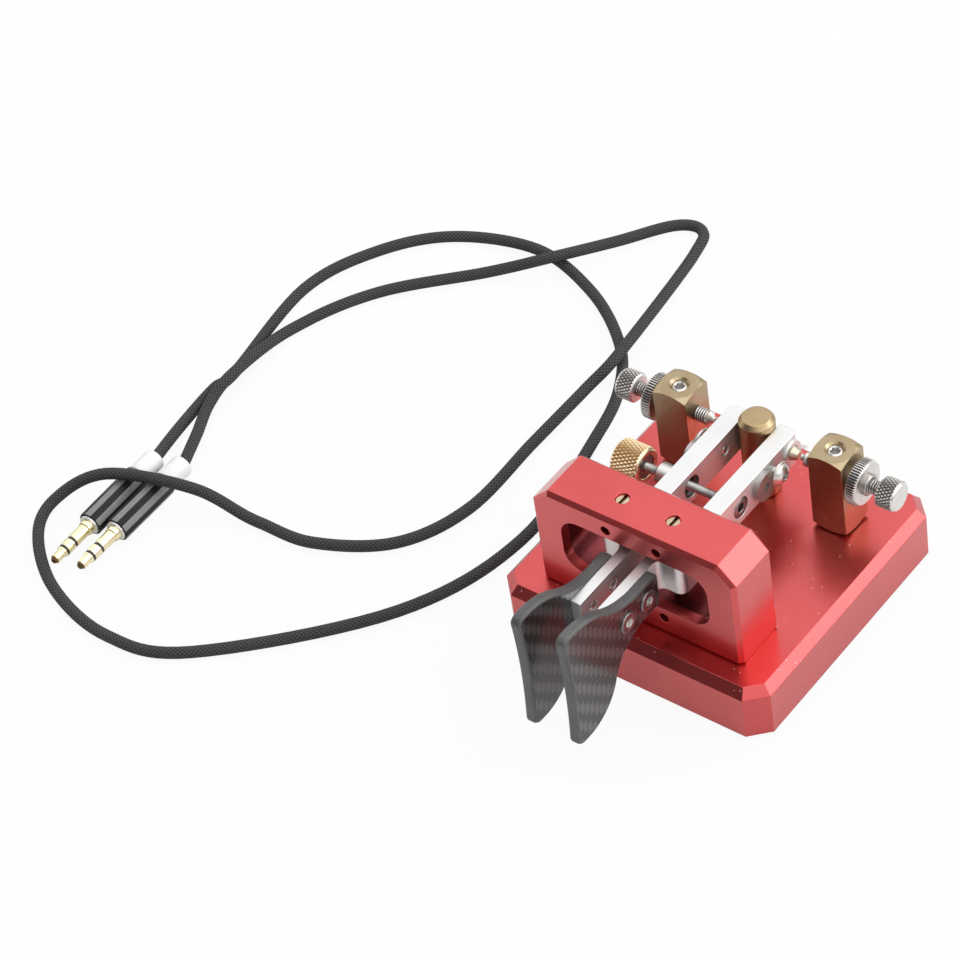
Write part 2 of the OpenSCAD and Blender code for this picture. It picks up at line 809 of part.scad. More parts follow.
module paddle_screws() {
    seat = front_outer + paddle_thick;
    color(steel) for (u = paddle_screw_u) translate([0, -u, lever_z]) difference() {
        union() {
            translate([front_inner, 0, 0]) bar_x(paddle_screw_r, seat - front_inner);
            translate([seat, 0, 0]) bar_x(paddle_head_r, paddle_head_height);
        }
        translate([seat + paddle_head_height - paddle_socket_depth, 0, 0]) rotate([0, 90, 0])
            socket(paddle_socket_r, paddle_socket_depth + over);
    }
}

module left_paddle_screws() left_side() paddle_screws();

module right_paddle_screws() paddle_screws();

// The right contact button, tapered where it stands proud of the lever
module contact_button() {
    color(brass) translate([button_face - button_proud - button_root, post_back, lever_z])
        rotate([0, 90, 0]) rotate_extrude() polygon([
            [0, 0], [button_r, 0], [button_r, button_root],
            [button_tip_r, button_root + button_proud], [0, button_root + button_proud]
        ]);
}

module left_contact_button() left_side() contact_button();

module right_contact_button() contact_button();

module trim_disc() {
    color(silver) translate([rear_outer, disc_y, lever_z]) difference() {
        bar_x(disc_r, disc_height);
        translate([disc_height - dimple_depth, 0, 0]) bar_x(dimple_r, dimple_depth + over);
    }
}

module left_trim_disc() left_side() trim_disc();

module right_trim_disc() trim_disc();

// A flanged screw whose flange laps over the edge of the trim disc and holds it
module trim_screw() {
    flange = rear_outer + disc_height;
    top = flange + trim_flange_height;
    color(steel) translate([0, trim_screw_y, lever_z]) difference() {
        union() {
            translate([rear_inner, 0, 0]) bar_x(trim_screw_r, rear_thick);
            translate([rear_outer, 0, 0]) bar_x(trim_spacer_r, disc_height);
            translate([flange, 0, 0]) bar_x(trim_flange_r, trim_flange_height);
            translate([top, 0, 0]) rotate([0, 90, 0]) intersection() {
                cylinder(r = trim_dome_r, h = trim_dome_height);
                translate([0, 0, trim_dome_height - trim_dome_bend]) sphere(trim_dome_bend);
            }
        }
        translate([top, 0, 0]) rotate([0, 90, 0]) socket(trim_socket_r, trim_dome_height + over);
    }
}

module left_trim_screw() left_side() trim_screw();

module right_trim_screw() trim_screw();

// Ring magnet seated in the left lever round the tension screw
module lever_magnet() {
    start = rear_outer - magnet_seat_depth;
    color(steel) left_side() translate([start, tension_y, lever_z]) difference() {
        bar_x(magnet_r, magnet_face - start);
        translate([-over, 0, 0]) bar_x(magnet_bore_r, long);
    }
}

// Long screw whose head sits flush in the right lever. Its thread carries the tension nut.
module tension_screw() {
    left_end = nut_face + tension_nut_length - tension_tail;
    color(steel) translate([0, tension_y, lever_z]) difference() {
        union() {
            translate([-left_end, 0, 0]) bar_x(tension_r, left_end + rear_outer - tension_head_height);
            translate([rear_outer - tension_head_height, 0, 0]) bar_x(tension_head_r, tension_head_height);
        }
        translate([rear_outer - tension_socket_depth, 0, 0]) rotate([0, 90, 0])
            socket(tension_socket_r, tension_socket_depth + over);
    }
}

module nut_magnet() {
    color(steel) left_side() translate([nut_face + nut_magnet_sink, tension_y, lever_z]) difference() {
        bar_x(magnet_r, nut_magnet_length);
        translate([-over, 0, 0]) bar_x(tension_r + run_gap, long);
    }
}

module tension_nut() {
    r = tension_nut_d / 2;
    recess = nut_magnet_sink + nut_magnet_length + run_gap;
    color(brass) left_side() translate([nut_face, tension_y, lever_z]) difference() {
        rotate([0, 90, 0]) rotate_extrude() polygon([
            [0, 0], [r - nut_bevel, 0], [r, nut_bevel], [r, tension_nut_length - nut_bevel],
            [r - nut_bevel, tension_nut_length], [0, tension_nut_length]
        ]);
        translate([-over, 0, 0]) bar_x(magnet_r + run_gap, recess + over);
        bar_x(tension_r + run_gap, long);
    }
}

// The right contact screw, with a conical tip that meets the lever's brass button
module contact_screw() {
    color(steel) translate([contact_tip_x, post_back, lever_z]) rotate([0, 90, 0]) rotate_extrude() polygon([
        [0, 0], [contact_tip_r, 0], [contact_tip_r, contact_tip_straight], [contact_r, contact_tip_length],
        [contact_r, knob_end - knob_bevel - contact_tip_x], [0, knob_end - knob_bevel - contact_tip_x]
    ]);
}

module left_contact_screw() left_side() contact_screw();

module right_contact_screw() contact_screw();

module contact_knob() {
    color(steel) translate([knob_start, post_back, lever_z]) difference() {
        rotate([0, 90, 0]) rotate_extrude() polygon([
            [0, 0], [knob_r - knob_bevel, 0], [knob_r, knob_bevel], [knob_r, knob_length - knob_bevel],
            [knob_r - knob_bevel, knob_length], [0, knob_length]
        ]);
        translate([-over, 0, 0]) bar_x(contact_r + run_gap, over + knob_length - knob_bevel + run_gap);
    }
}

module left_contact_knob() left_side() contact_knob();

module right_contact_knob() contact_knob();

// Round outline with straight teeth cut across its rim
module toothed_circle(radius, teeth, depth) {
    polygon([for (i = [0 : 2 * teeth - 1])
        (radius - (i % 2) * depth) * [cos(180 * i / teeth), sin(180 * i / teeth)]]);
}

module lock_nut() {
    rim = lock_boss_length - lock_free;
    color(steel) translate([post_outer + lock_free, post_back, lever_z]) difference() {
        union() {
            bar_x(lock_boss_r, rim);
            translate([rim, 0, 0]) rotate([0, 90, 0])
                linear_extrude(lock_nut_rim) toothed_circle(lock_nut_d / 2, lock_teeth, lock_tooth_depth);
            translate([rim + lock_nut_rim, 0, 0]) bar_x(lock_collar_r, lock_collar_length);
        }
        translate([-over, 0, 0]) bar_x(contact_r + run_gap, long);
    }
}

module left_lock_nut() left_side() lock_nut();

module right_lock_nut() lock_nut();

// Places a plug that was drawn along +Z from its tip, with its rear end at a point on the floor
module lay_plug(rear, yaw) {
    translate([rear[0], rear[1], plug_z]) rotate(yaw) rotate([-90, 0, 0])
        translate([0, 0, -plug_length]) children();
}

module plug_pin() {
    color(brass) rotate_extrude() polygon([
        [0, 0], [tip_end_r, 0], [tip_ball_r, tip_ball_start], [tip_ball_r, tip_ball_end],
        [tip_neck_r, tip_neck_start],
        [pin_r, tip_length], [pin_r, pin_length], [collar_r, pin_length],
        [collar_r, pin_length + collar_length], [0, pin_length + collar_length]
    ]);
}

module plug_barrel() {
    across = barrel_width / 2 / cos(180 / plug_sides);
    color(black) translate([0, 0, pin_length + collar_length]) rotate(180 / plug_sides)
        cylinder(r = across, h = barrel_length, $fn = plug_sides);
}

module plug_sleeve() {
    color(white) translate([0, 0, pin_length + collar_length + barrel_length])
        cylinder(r = sleeve_r, h = sleeve_length);
}

module plug_a_pin() lay_plug(plug_a_rear, plug_a_yaw) plug_pin();

module plug_a_barrel() lay_plug(plug_a_rear, plug_a_yaw) plug_barrel();

module plug_a_sleeve() lay_plug(plug_a_rear, plug_a_yaw) plug_sleeve();

module plug_b_pin() lay_plug(plug_b_rear, plug_b_yaw) plug_pin();

module plug_b_barrel() lay_plug(plug_b_rear, plug_b_yaw) plug_barrel();

module plug_b_sleeve() lay_plug(plug_b_rear, plug_b_yaw) plug_sleeve();

// A point on the smooth curve through four route points, from the second to the third
function curve_point(p, q, r, s, t) =
    (2 * q + (r - p) * t + (2 * p - 5 * q + 4 * r - s) * t * t
        + (3 * q - p - 3 * r + s) * t * t * t) / 2;

function clear_of_floor(p) = [p[0], p[1], max(p[2], cable_rest)];

function route_point(i) = cable_route[max(0, min(len(cable_route) - 1, i))];

// Eight-sided rings along the route, joined into one closed tube
module patch_cable() {
    last = len(cable_route) - 1;
    line = concat(
        [for (i = [0 : last - 1], k = [0 : cable_steps - 1]) clear_of_floor(curve_point(
            route_point(i - 1), route_point(i), route_point(i + 1), route_point(i + 2), k / cable_steps))],
        [cable_route[last]]
    );
    count = len(line);
    rings = [for (i = [0 : count - 1], k = [0 : cable_sides - 1])
        let (
            along = i == 0 ? [-sin(plug_a_yaw), cos(plug_a_yaw), 0]
                : i == count - 1 ? [sin(plug_b_yaw), -cos(plug_b_yaw), 0]
                : line[i + 1] - line[i - 1],
            side = cross(along, [0, 0, 1]) / norm(cross(along, [0, 0, 1])),
            up = cross(side, along) / norm(along),
            turn = 360 * k / cable_sides
        ) line[i] + cable_r * (cos(turn) * side + sin(turn) * up)];
    walls = [for (i = [0 : count - 2], k = [0 : cable_sides - 1])
        let (a = i * cable_sides, n = (k + 1) % cable_sides)
            [a + k, a + n, a + cable_sides + n, a + cable_sides + k]];
    ends = [
        [for (k = [cable_sides - 1 : -1 : 0]) k],
        [for (k = [0 : cable_sides - 1]) (count - 1) * cable_sides + k]
    ];
    color(black) polyhedron(rings, concat(walls, ends));
}

base();
rubber_pad();
bridge();
bridge_screws();
upper_pivot_screws();
lower_pivot_screws();
pivot_lock_screws();
stop_post();
stop_screw();
left_post();
right_post();
post_insulators();
post_screws();
contact_clamp_screws();
output_jack();
jack_nut();
wiring();
left_lever();
left_bearings();
left_paddle();
left_paddle_screws();
left_contact_button();
left_trim_disc();
left_trim_screw();
lever_magnet();
right_lever();
right_bearings();
right_paddle();
right_paddle_screws();
right_contact_button();
right_trim_disc();
right_trim_screw();
tension_screw();
left_contact_screw();
left_contact_knob();
left_lock_nut();
right_contact_screw();
right_contact_knob();
right_lock_nut();
nut_magnet();
tension_nut();
patch_cable();
plug_a_pin();
plug_a_barrel();
plug_a_sleeve();
plug_b_pin();
plug_b_barrel();
plug_b_sleeve();
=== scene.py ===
"""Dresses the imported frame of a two-lever morse keyer: cord, turned parts, eased metal and finishes."""
import math

import bmesh
import bpy
from mathutils import Matrix, Vector


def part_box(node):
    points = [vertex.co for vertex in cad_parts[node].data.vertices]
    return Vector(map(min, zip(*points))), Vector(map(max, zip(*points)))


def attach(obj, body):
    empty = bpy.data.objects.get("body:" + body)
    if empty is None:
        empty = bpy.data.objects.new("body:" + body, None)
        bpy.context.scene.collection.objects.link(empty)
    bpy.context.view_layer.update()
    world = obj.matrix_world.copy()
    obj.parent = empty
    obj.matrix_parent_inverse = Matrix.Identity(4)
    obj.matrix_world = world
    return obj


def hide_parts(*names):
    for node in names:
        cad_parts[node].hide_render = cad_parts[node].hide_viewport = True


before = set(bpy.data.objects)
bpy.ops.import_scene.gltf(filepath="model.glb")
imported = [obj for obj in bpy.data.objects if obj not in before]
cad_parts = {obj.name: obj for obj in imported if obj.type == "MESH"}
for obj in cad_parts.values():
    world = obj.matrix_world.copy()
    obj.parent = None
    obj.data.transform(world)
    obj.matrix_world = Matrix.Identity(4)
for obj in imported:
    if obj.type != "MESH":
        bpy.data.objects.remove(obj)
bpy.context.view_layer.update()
scene = bpy.context.scene
scene.view_settings.view_transform = "Standard"

# Every piece is modelled in millimetres and brought to metres when it is kept.
MM = 0.001
SIDES = {"left": -1, "right": 1}

# Camera, in metres and degrees

CAMERA_PLACE = (0.42238, -0.51804, 0.69669)
CAMERA_ROUND = 43.96136
CAMERA_ABOVE = 44.13178
CAMERA_ROLL = -9.87765
CAMERA_LENS = 142.436
CAMERA_SENSOR = 36
CAMERA_NEAR = 0.01


def photo_camera():
    camera = bpy.data.cameras.new("photo_camera")
    camera.lens = CAMERA_LENS
    camera.sensor_width = CAMERA_SENSOR
    camera.sensor_fit = "HORIZONTAL"
    camera.clip_start = CAMERA_NEAR
    holder = bpy.data.objects.new("photo_camera", camera)
    scene.collection.objects.link(holder)
    holder.matrix_world = (
        Matrix.Translation(CAMERA_PLACE)
        @ Matrix.Rotation(math.radians(CAMERA_ROUND), 4, "Z")
        @ Matrix.Rotation(math.radians(90 - CAMERA_ABOVE), 4, "X")
        @ Matrix.Rotation(math.radians(CAMERA_ROLL), 4, "Z")
    )
    scene.camera = holder


# Nodes


def add_node(tree, kind, values=None, **settings):
    """Adds a shader node. A value is a number, a vector, a colour or another node's output."""
    node = tree.nodes.new("ShaderNode" + kind)
    for name, setting in settings.items():
        setattr(node, name, setting)
    for name, value in (values or {}).items():
        if isinstance(value, bpy.types.NodeSocket):
            tree.links.new(value, node.inputs[name])
        else:
            node.inputs[name].default_value = value
    return node


def use_group(tree, group, values):
    """Places a shared node group and returns its outputs."""
    return add_node(tree, "Group", values, node_tree=group).outputs


def reckon(tree, operation, first, second=0.0):
    return add_node(tree, "Math", {0: first, 1: second}, operation=operation).outputs[0]


def between(tree, value, low, high):
    """Spreads a value that runs from 0 to 1 over the span from low to high."""
    return add_node(tree, "MapRange", {"Value": value, "To Min": low, "To Max": high}).outputs[0]


def step_up(tree, value, low, high):
    """0 below low, 1 above high, and a smooth step between them."""
    values = {"Value": value, "From Min": low, "From Max": high}
    return add_node(tree, "MapRange", values, interpolation_type="SMOOTHSTEP").outputs[0]


def opaque(colour):
    """A written colour with full cover. A node's output stays as it is."""
    return (*colour, 1) if isinstance(colour, tuple) else colour


def tint(tree, share, first, second):
    """A colour that goes from the first to the second."""
    values = {0: share, 6: opaque(first), 7: opaque(second)}
    return add_node(tree, "Mix", values, data_type="RGBA").outputs[2]


def either(tree, share, first, second):
    """A number that goes from the first to the second."""
    return add_node(tree, "Mix", {0: share, 2: first, 3: second}, data_type="FLOAT").outputs[0]


def noise_mask(tree, place, scale, detail, low, high, roughness=0.5):
    """Noise stepped up from low to high, as a mask from 0 to 1."""
    values = {"Vector": place, "Scale": scale, "Detail": detail, "Roughness": roughness}
    return step_up(tree, add_node(tree, "TexNoise", values).outputs[0], low, high)


def new_group(name, inputs, outputs):
    """A node group with named sockets, given as name and kind. Returns its tree and its two ends."""
    tree = bpy.data.node_groups.new(name, "ShaderNodeTree")
    for socket, kind in inputs.items():
        tree.interface.new_socket(name=socket, in_out="INPUT", socket_type="NodeSocket" + kind)
    for socket, kind in outputs.items():
        tree.interface.new_socket(name=socket, in_out="OUTPUT", socket_type="NodeSocket" + kind)
    return tree, tree.nodes.new("NodeGroupInput").outputs, tree.nodes.new("NodeGroupOutput").inputs


def fine_grain_group():
    """The even grain of blasted metal and moulded plastic."""
    tree, given, out = new_group("fine grain", {"Place": "Vector", "Grains": "Float"}, {"Grain": "Float"})
    grain = noise_mask(tree, given["Place"], given["Grains"], detail=2.0, low=0.3, high=0.7)
    tree.links.new(grain, out["Grain"])
    return tree


def drawn_lines_group():
    """Fine lines along one direction, as a cutter or a polishing belt leaves them."""
    inputs = {"Place": "Vector", "Stretch": "Vector"}
    tree, given, out = new_group("drawn lines", inputs, {"Lines": "Float"})
    ends = {0: given["Place"], 1: given["Stretch"]}
    stretched = add_node(tree, "VectorMath", ends, operation="MULTIPLY").outputs[0]
    lines = noise_mask(tree, stretched, 1.0, detail=3.0, low=0.25, high=0.75)
    tree.links.new(lines, out["Lines"])
    return tree


def handling_group():
    """Broad soft patches where metal has darkened or been wiped."""
    inputs = {"Place": "Vector", "Patches": "Float"}
    tree, given, out = new_group("handling marks", inputs, {"Dull": "Float"})
    dull = noise_mask(tree, given["Place"], given["Patches"], detail=4.0, low=0.35, high=0.7, roughness=0.6)
    tree.links.new(dull, out["Dull"])
    return tree


SPECK_SIZES = (0.02, 0.13)
SPECK_CHANCE = 0.45


def dust_group():
    """Scattered pale specks. Spread is how many places a metre has for one."""
    tree, given, out = new_group("dust specks", {"Place": "Vector", "Spread": "Float"}, {"Speck": "Float"})
    cells = add_node(tree, "TexVoronoi", {"Vector": given["Place"], "Scale": given["Spread"]})
    chance = add_node(tree, "SeparateColor", {0: cells.outputs["Color"]})
    size = between(tree, chance.outputs[1], *SPECK_SIZES)
    near = reckon(tree, "LESS_THAN", cells.outputs["Distance"], size)
    chosen = reckon(tree, "GREATER_THAN", chance.outputs[0], SPECK_CHANCE)
    tree.links.new(reckon(tree, "MULTIPLY", near, chosen), out["Speck"])
    return tree


def lathe_marks_group():
    """Fine rings about the Z axis of the place it is given, as on a faced-off end."""
    tree, given, out = new_group("lathe marks", {"Place": "Vector", "Rings": "Float"}, {"Rings": "Float"})
    flat = add_node(tree, "VectorMath", {0: given["Place"], 1: (1, 1, 0)}, operation="MULTIPLY")
    far = add_node(tree, "VectorMath", {0: flat.outputs[0]}, operation="LENGTH")
    along = add_node(tree, "CombineXYZ", {0: reckon(tree, "MULTIPLY", far.outputs[1], given["Rings"])})
    rings = noise_mask(tree, along.outputs[0], 1.0, detail=3.0, low=0.3, high=0.7)
    tree.links.new(rings, out["Rings"])
    return tree


TWILL_REPEAT = 4.0
TWILL_OVER = 2.0
STRAND_EDGE = 0.3


def twill_group():
    """Woven carbon in the Y-Z plane, each strand passing over two and under two of the others."""
    tree, given, out = new_group("carbon twill", {"Place": "Vector", "Strand": "Float"},
                                 {"Upright": "Float", "Crown": "Float"})
    axes = add_node(tree, "SeparateXYZ", {0: given["Place"]})
    ways = [reckon(tree, "DIVIDE", axes.outputs[axis], given["Strand"]) for axis in (1, 2)]
    cells = reckon(tree, "ADD", reckon(tree, "FLOOR", ways[0]), reckon(tree, "FLOOR", ways[1]))
    upright = reckon(tree, "LESS_THAN", reckon(tree, "FLOORED_MODULO", cells, TWILL_REPEAT), TWILL_OVER)
    crowns = [step_up(tree, reckon(tree, "PINGPONG", way, 0.5), 0.0, STRAND_EDGE) for way in ways]
    tree.links.new(upright, out["Upright"])
    tree.links.new(either(tree, upright, crowns[1], crowns[0]), out["Crown"])
    return tree


STRAND_DIP = 0.5


def braid_group():
    """Two sets of strands that wind opposite ways and pass over and under each other."""
    inputs = {"Along": "Float", "Around": "Float", "Strands": "Float", "Lay": "Float"}
    tree, given, out = new_group("braid", inputs, {"Height": "Float", "Strand": "Float"})
    around = reckon(tree, "MULTIPLY", given["Around"], given["Strands"])
    along = reckon(tree, "DIVIDE", given["Along"], given["Lay"])
    ways = [reckon(tree, "ADD", around, along), reckon(tree, "SUBTRACT", around, along)]
    cells = reckon(tree, "ADD", reckon(tree, "FLOOR", ways[0]), reckon(tree, "FLOOR", ways[1]))
    over = reckon(tree, "FLOORED_MODULO", cells, 2.0)
    crowns = [reckon(tree, "MULTIPLY", reckon(tree, "PINGPONG", way, 0.5), 2.0) for way in ways]
    heights = [reckon(tree, "MULTIPLY", crown, between(tree, other, STRAND_DIP, 1.0))
               for crown, other in zip(crowns, reversed(crowns))]
    tree.links.new(either(tree, over, *heights), out["Height"])
    tree.links.new(over, out["Strand"])
    return tree


GRAIN = fine_grain_group()
LINES = drawn_lines_group()
HANDLING = handling_group()
DUST = dust_group()
LATHE = lathe_marks_group()
TWILL = twill_group()
BRAID = braid_group()


# Finishes

# How deep the grain and the fine lines are, in metres.
GRAIN_DEEP = 0.00003
LINES_DEEP = 0.00002
# How much of the second colour a red's grain, a metal's patches, lines and lathe marks bring in.
RED_GRAIN_SHARE = 0.35
DULL_SHARE = 0.6
LINES_SHARE = 0.25
RINGS_SHARE = 0.3
# How much rougher patches and the grooves with painted shade are.
DULL_ROUGHER = 0.05
TURNED_DULL_ROUGHER = 0.08
GROOVE_SHADE_ROUGHER = 0.3
RED_ROUGH = (0.3, 0.37)
RED_GRAIN_LIFT = 1.15
SPECK_COLOUR = (0.85, 0.55, 0.52)
SPECK_COVER = 0.75
SPECK_METAL = 0.2
UPWARD = 0.5


def new_finish(name, **sockets):
    """A material with one Principled shader. Returns it with its tree, shader and Object coordinates."""
    material = bpy.data.materials.new(name)
    material.use_nodes = True
    tree = material.node_tree
    shader = tree.nodes["Principled BSDF"]
    for socket, value in sockets.items():
        shader.inputs[socket.replace("_", " ")].default_value = value
    place = add_node(tree, "TexCoord").outputs["Object"]
    return material, tree, shader.inputs, place


def raise_bump(tree, shader, height, strength, deep):
    values = {"Height": height, "Strength": strength, "Distance": deep}
    tree.links.new(add_node(tree, "Bump", values).outputs[0], shader["Normal"])


def red_anodised(name, dusty, bright, deep, coat=0.8):
    """Blasted and dyed metal, with dust on the faces that look up where it is asked for."""
    material, tree, shader, place = new_finish(name, Metallic=1.0, Coat_Weight=coat, Coat_Roughness=0.2)
    grain = use_group(tree, GRAIN, {"Place": place, "Grains": 4200.0})["Grain"]
    dull = use_group(tree, HANDLING, {"Place": place, "Patches": 38.0})["Dull"]
    lifted = tuple(RED_GRAIN_LIFT * share for share in bright)
    red = tint(tree, dull, bright, deep)
    red = tint(tree, reckon(tree, "MULTIPLY", grain, RED_GRAIN_SHARE), red, lifted)
    if dusty:
        speck = use_group(tree, DUST, {"Place": place, "Spread": 650.0})["Speck"]
        normal = add_node(tree, "NewGeometry").outputs["Normal"]
        upward = add_node(tree, "SeparateXYZ", {0: normal}).outputs[2]
        speck = reckon(tree, "MULTIPLY", speck, reckon(tree, "GREATER_THAN", upward, UPWARD))
        red = tint(tree, reckon(tree, "MULTIPLY", speck, SPECK_COVER), red, SPECK_COLOUR)
        tree.links.new(between(tree, speck, 1.0, SPECK_METAL), shader["Metallic"])
    tree.links.new(red, shader["Base Color"])
    tree.links.new(between(tree, grain, *RED_ROUGH), shader["Roughness"])
    raise_bump(tree, shader, grain, strength=0.12, deep=GRAIN_DEEP)
    return material


def drawn_metal(name, light, dark, rough, stretch=900.0, patches=60.0, groove_shade=None):
    """Metal with fine lines and soft handling marks.

    Stretch is how many lines a metre has, alike every way or for X, Y and Z. Groove shade is the
    painted shade colour in the grooves of a knurl or thread, darker the deeper the cut.
    """
    material, tree, shader, place = new_finish(name, Metallic=1.0)
    stretches = stretch if isinstance(stretch, tuple) else (stretch,) * 3
    lines = use_group(tree, LINES, {"Place": place, "Stretch": stretches})["Lines"]
    dull = use_group(tree, HANDLING, {"Place": place, "Patches": patches})["Dull"]
    colour = tint(tree, reckon(tree, "MULTIPLY", dull, DULL_SHARE), light, dark)
    colour = tint(tree, reckon(tree, "MULTIPLY", lines, LINES_SHARE), colour, dark)
    worn = reckon(tree, "ADD", between(tree, lines, *rough), reckon(tree, "MULTIPLY", dull, DULL_ROUGHER))
    # Painted shade: the grooves of knurls and threads are darkened towards a dark colour by how deep they are
    # cut.
    if groove_shade:
        groove = add_node(tree, "Attribute", attribute_name="groove").outputs["Fac"]
        colour = tint(tree, groove, colour, groove_shade)
        worn = reckon(tree, "ADD", worn, reckon(tree, "MULTIPLY", groove, GROOVE_SHADE_ROUGHER))
    tree.links.new(colour, shader["Base Color"])
    tree.links.new(worn, shader["Roughness"])
    raise_bump(tree, shader, lines, strength=0.08, deep=LINES_DEEP)
    return material


def turned_metal(name, light, dark, rough, middle):
    """Metal faced off on a lathe, with rings about the upright line through the middle of the piece."""
    material, tree, shader, place = new_finish(name, Metallic=1.0)
    centred = add_node(tree, "Mapping", {"Vector": place, "Location": middle}, vector_type="TEXTURE")
    marks = use_group(tree, LATHE, {"Place": centred.outputs[0], "Rings": 9000.0})["Rings"]
    dull = use_group(tree, HANDLING, {"Place": place, "Patches": 180.0})["Dull"]
    colour = tint(tree, dull, light, dark)
    colour = tint(tree, reckon(tree, "MULTIPLY", marks, RINGS_SHARE), colour, dark)
    duller = reckon(tree, "MULTIPLY", dull, TURNED_DULL_ROUGHER)
    tree.links.new(colour, shader["Base Color"])
    tree.links.new(reckon(tree, "ADD", between(tree, marks, *rough), duller), shader["Roughness"])
    raise_bump(tree, shader, marks, strength=0.1, deep=LINES_DEEP)
    return material


def moulded(name, colour, deep, rough, grains=2600.0, bump=0.05, **sockets):
    """Rubber or plastic with a fine moulded grain."""
    material, tree, shader, place = new_finish(name, **sockets)
    grain = use_group(tree, GRAIN, {"Place": place, "Grains": grains})["Grain"]
    dull = use_group(tree, HANDLING, {"Place": place, "Patches": 90.0})["Dull"]
    tree.links.new(tint(tree, dull, colour, deep), shader["Base Color"])
    tree.links.new(between(tree, grain, *rough), shader["Roughness"])
    raise_bump(tree, shader, grain, strength=bump, deep=GRAIN_DEEP)
    return material


CARBON_DARK = ((0.006, 0.006, 0.0062), (0.01, 0.0098, 0.01))
CARBON_SHEEN = (0.054, 0.053, 0.054)
CARBON_CROWN = (0.35, 1.0)
CARBON_ROUGH = (0.46, 0.32)


def woven_carbon():
    material, tree, shader, place = new_finish("woven carbon", Coat_Weight=0.72, Coat_Roughness=0.16)
    weave = use_group(tree, TWILL, {"Place": place, "Strand": 0.0017})
    dull = use_group(tree, HANDLING, {"Place": place, "Patches": 70.0})["Dull"]
    dark = tint(tree, dull, *CARBON_DARK)
    # Painted sheen: the strands that run upright are painted paler towards their crowns, for the light woven
    # carbon reflects along one way of its strands.
    pale = reckon(tree, "MULTIPLY", weave["Upright"], between(tree, weave["Crown"], *CARBON_CROWN))
    tree.links.new(tint(tree, pale, dark, CARBON_SHEEN), shader["Base Color"])
    tree.links.new(between(tree, weave["Upright"], *CARBON_ROUGH), shader["Roughness"])
    raise_bump(tree, shader, weave["Crown"], strength=0.06, deep=0.00005)
    return material


CLOTH_DARK = ((0.009, 0.009, 0.0092), (0.014, 0.014, 0.014))
CLOTH_CROWN_HIGHLIGHT = (0.085, 0.085, 0.087)
CLOTH_ROUGH = (0.8, 0.55)


def braided_cloth():
    material, tree, shader, place = new_finish("braided cord", Specular_IOR_Level=0.3)
    lie = add_node(tree, "SeparateXYZ", {0: add_node(tree, "UVMap", uv_map="braid").outputs[0]})
    values = {"Along": lie.outputs[0], "Around": lie.outputs[1], "Strands": 9.0, "Lay": 1.15}
    height = use_group(tree, BRAID, values)["Height"]
    dull = use_group(tree, HANDLING, {"Place": place, "Patches": 60.0})["Dull"]
    dark = tint(tree, dull, *CLOTH_DARK)
    # Painted highlight and shade: the braid's strands are painted paler on their crowns and darker in the
    # dips between them.
    tree.links.new(tint(tree, height, dark, CLOTH_CROWN_HIGHLIGHT), shader["Base Color"])
    tree.links.new(between(tree, height, *CLOTH_ROUGH), shader["Roughness"])
    raise_bump(tree, shader, height, strength=0.7, deep=0.0003)
    return material


LEVER_LINES = (2600.0, 90.0, 2600.0)
BLASTED_RED = red_anodised("red anodised bridge", False, (0.62, 0.075, 0.075), (0.57, 0.062, 0.064))
# The base's red is a slightly darker copy of the bridge's: painted shade, besides the real dust specks.
DUSTY_SHADED_RED = red_anodised("red anodised base, dust and painted shade", True, (0.6, 0.072, 0.072), (0.55, 0.06, 0.062))
# A much darker copy of the red for the faces inside the bridge's tunnel: painted shade.
SHADED_POCKET_RED = red_anodised("red anodised pocket, painted shade", False, (0.2, 0.034, 0.038), (0.155, 0.025, 0.028), coat=0.2)
SATIN = drawn_metal("satin aluminium", (0.78, 0.78, 0.775), (0.71, 0.71, 0.71), (0.4, 0.5), LEVER_LINES)
NICKEL = drawn_metal("bright nickel", (0.75, 0.735, 0.71), (0.62, 0.6, 0.57), (0.24, 0.35),
                     patches=200.0, groove_shade=(0.1, 0.09, 0.085))
GREY_STEEL = drawn_metal("grey steel", (0.46, 0.44, 0.42), (0.34, 0.31, 0.3), (0.34, 0.46), patches=200.0)
DULL_STEEL_AND_SHADE = drawn_metal("dull steel and painted shade", (0.3, 0.275, 0.27), (0.22, 0.2, 0.2), (0.32, 0.44), patches=200.0)
DARK_STEEL = drawn_metal("dark steel", (0.16, 0.15, 0.15), (0.08, 0.08, 0.08), (0.3, 0.45))
GOLD_BRASS = drawn_metal("bright brass", (0.95, 0.84, 0.58), (0.86, 0.7, 0.42), (0.2, 0.32),
                         patches=150.0, groove_shade=(0.43, 0.26, 0.115))
GILT = drawn_metal("gilt plug metal", (0.92, 0.84, 0.56), (0.8, 0.69, 0.4), (0.1, 0.2), 700.0, 150.0)
SHADE_DARK_BRASS = drawn_metal("dark brass for painted shade", (0.2, 0.13, 0.06), (0.12, 0.08, 0.04), (0.4, 0.55))
SLOTTED_BRASS = drawn_metal("screw brass", (0.62, 0.52, 0.37), (0.5, 0.4, 0.26), (0.22, 0.36))
PALE_CONTACT = drawn_metal("pale contact", (0.66, 0.6, 0.48), (0.52, 0.46, 0.36), (0.24, 0.36))
COPPER = drawn_metal("copper wire", (0.78, 0.4, 0.24), (0.5, 0.24, 0.14), (0.25, 0.4))
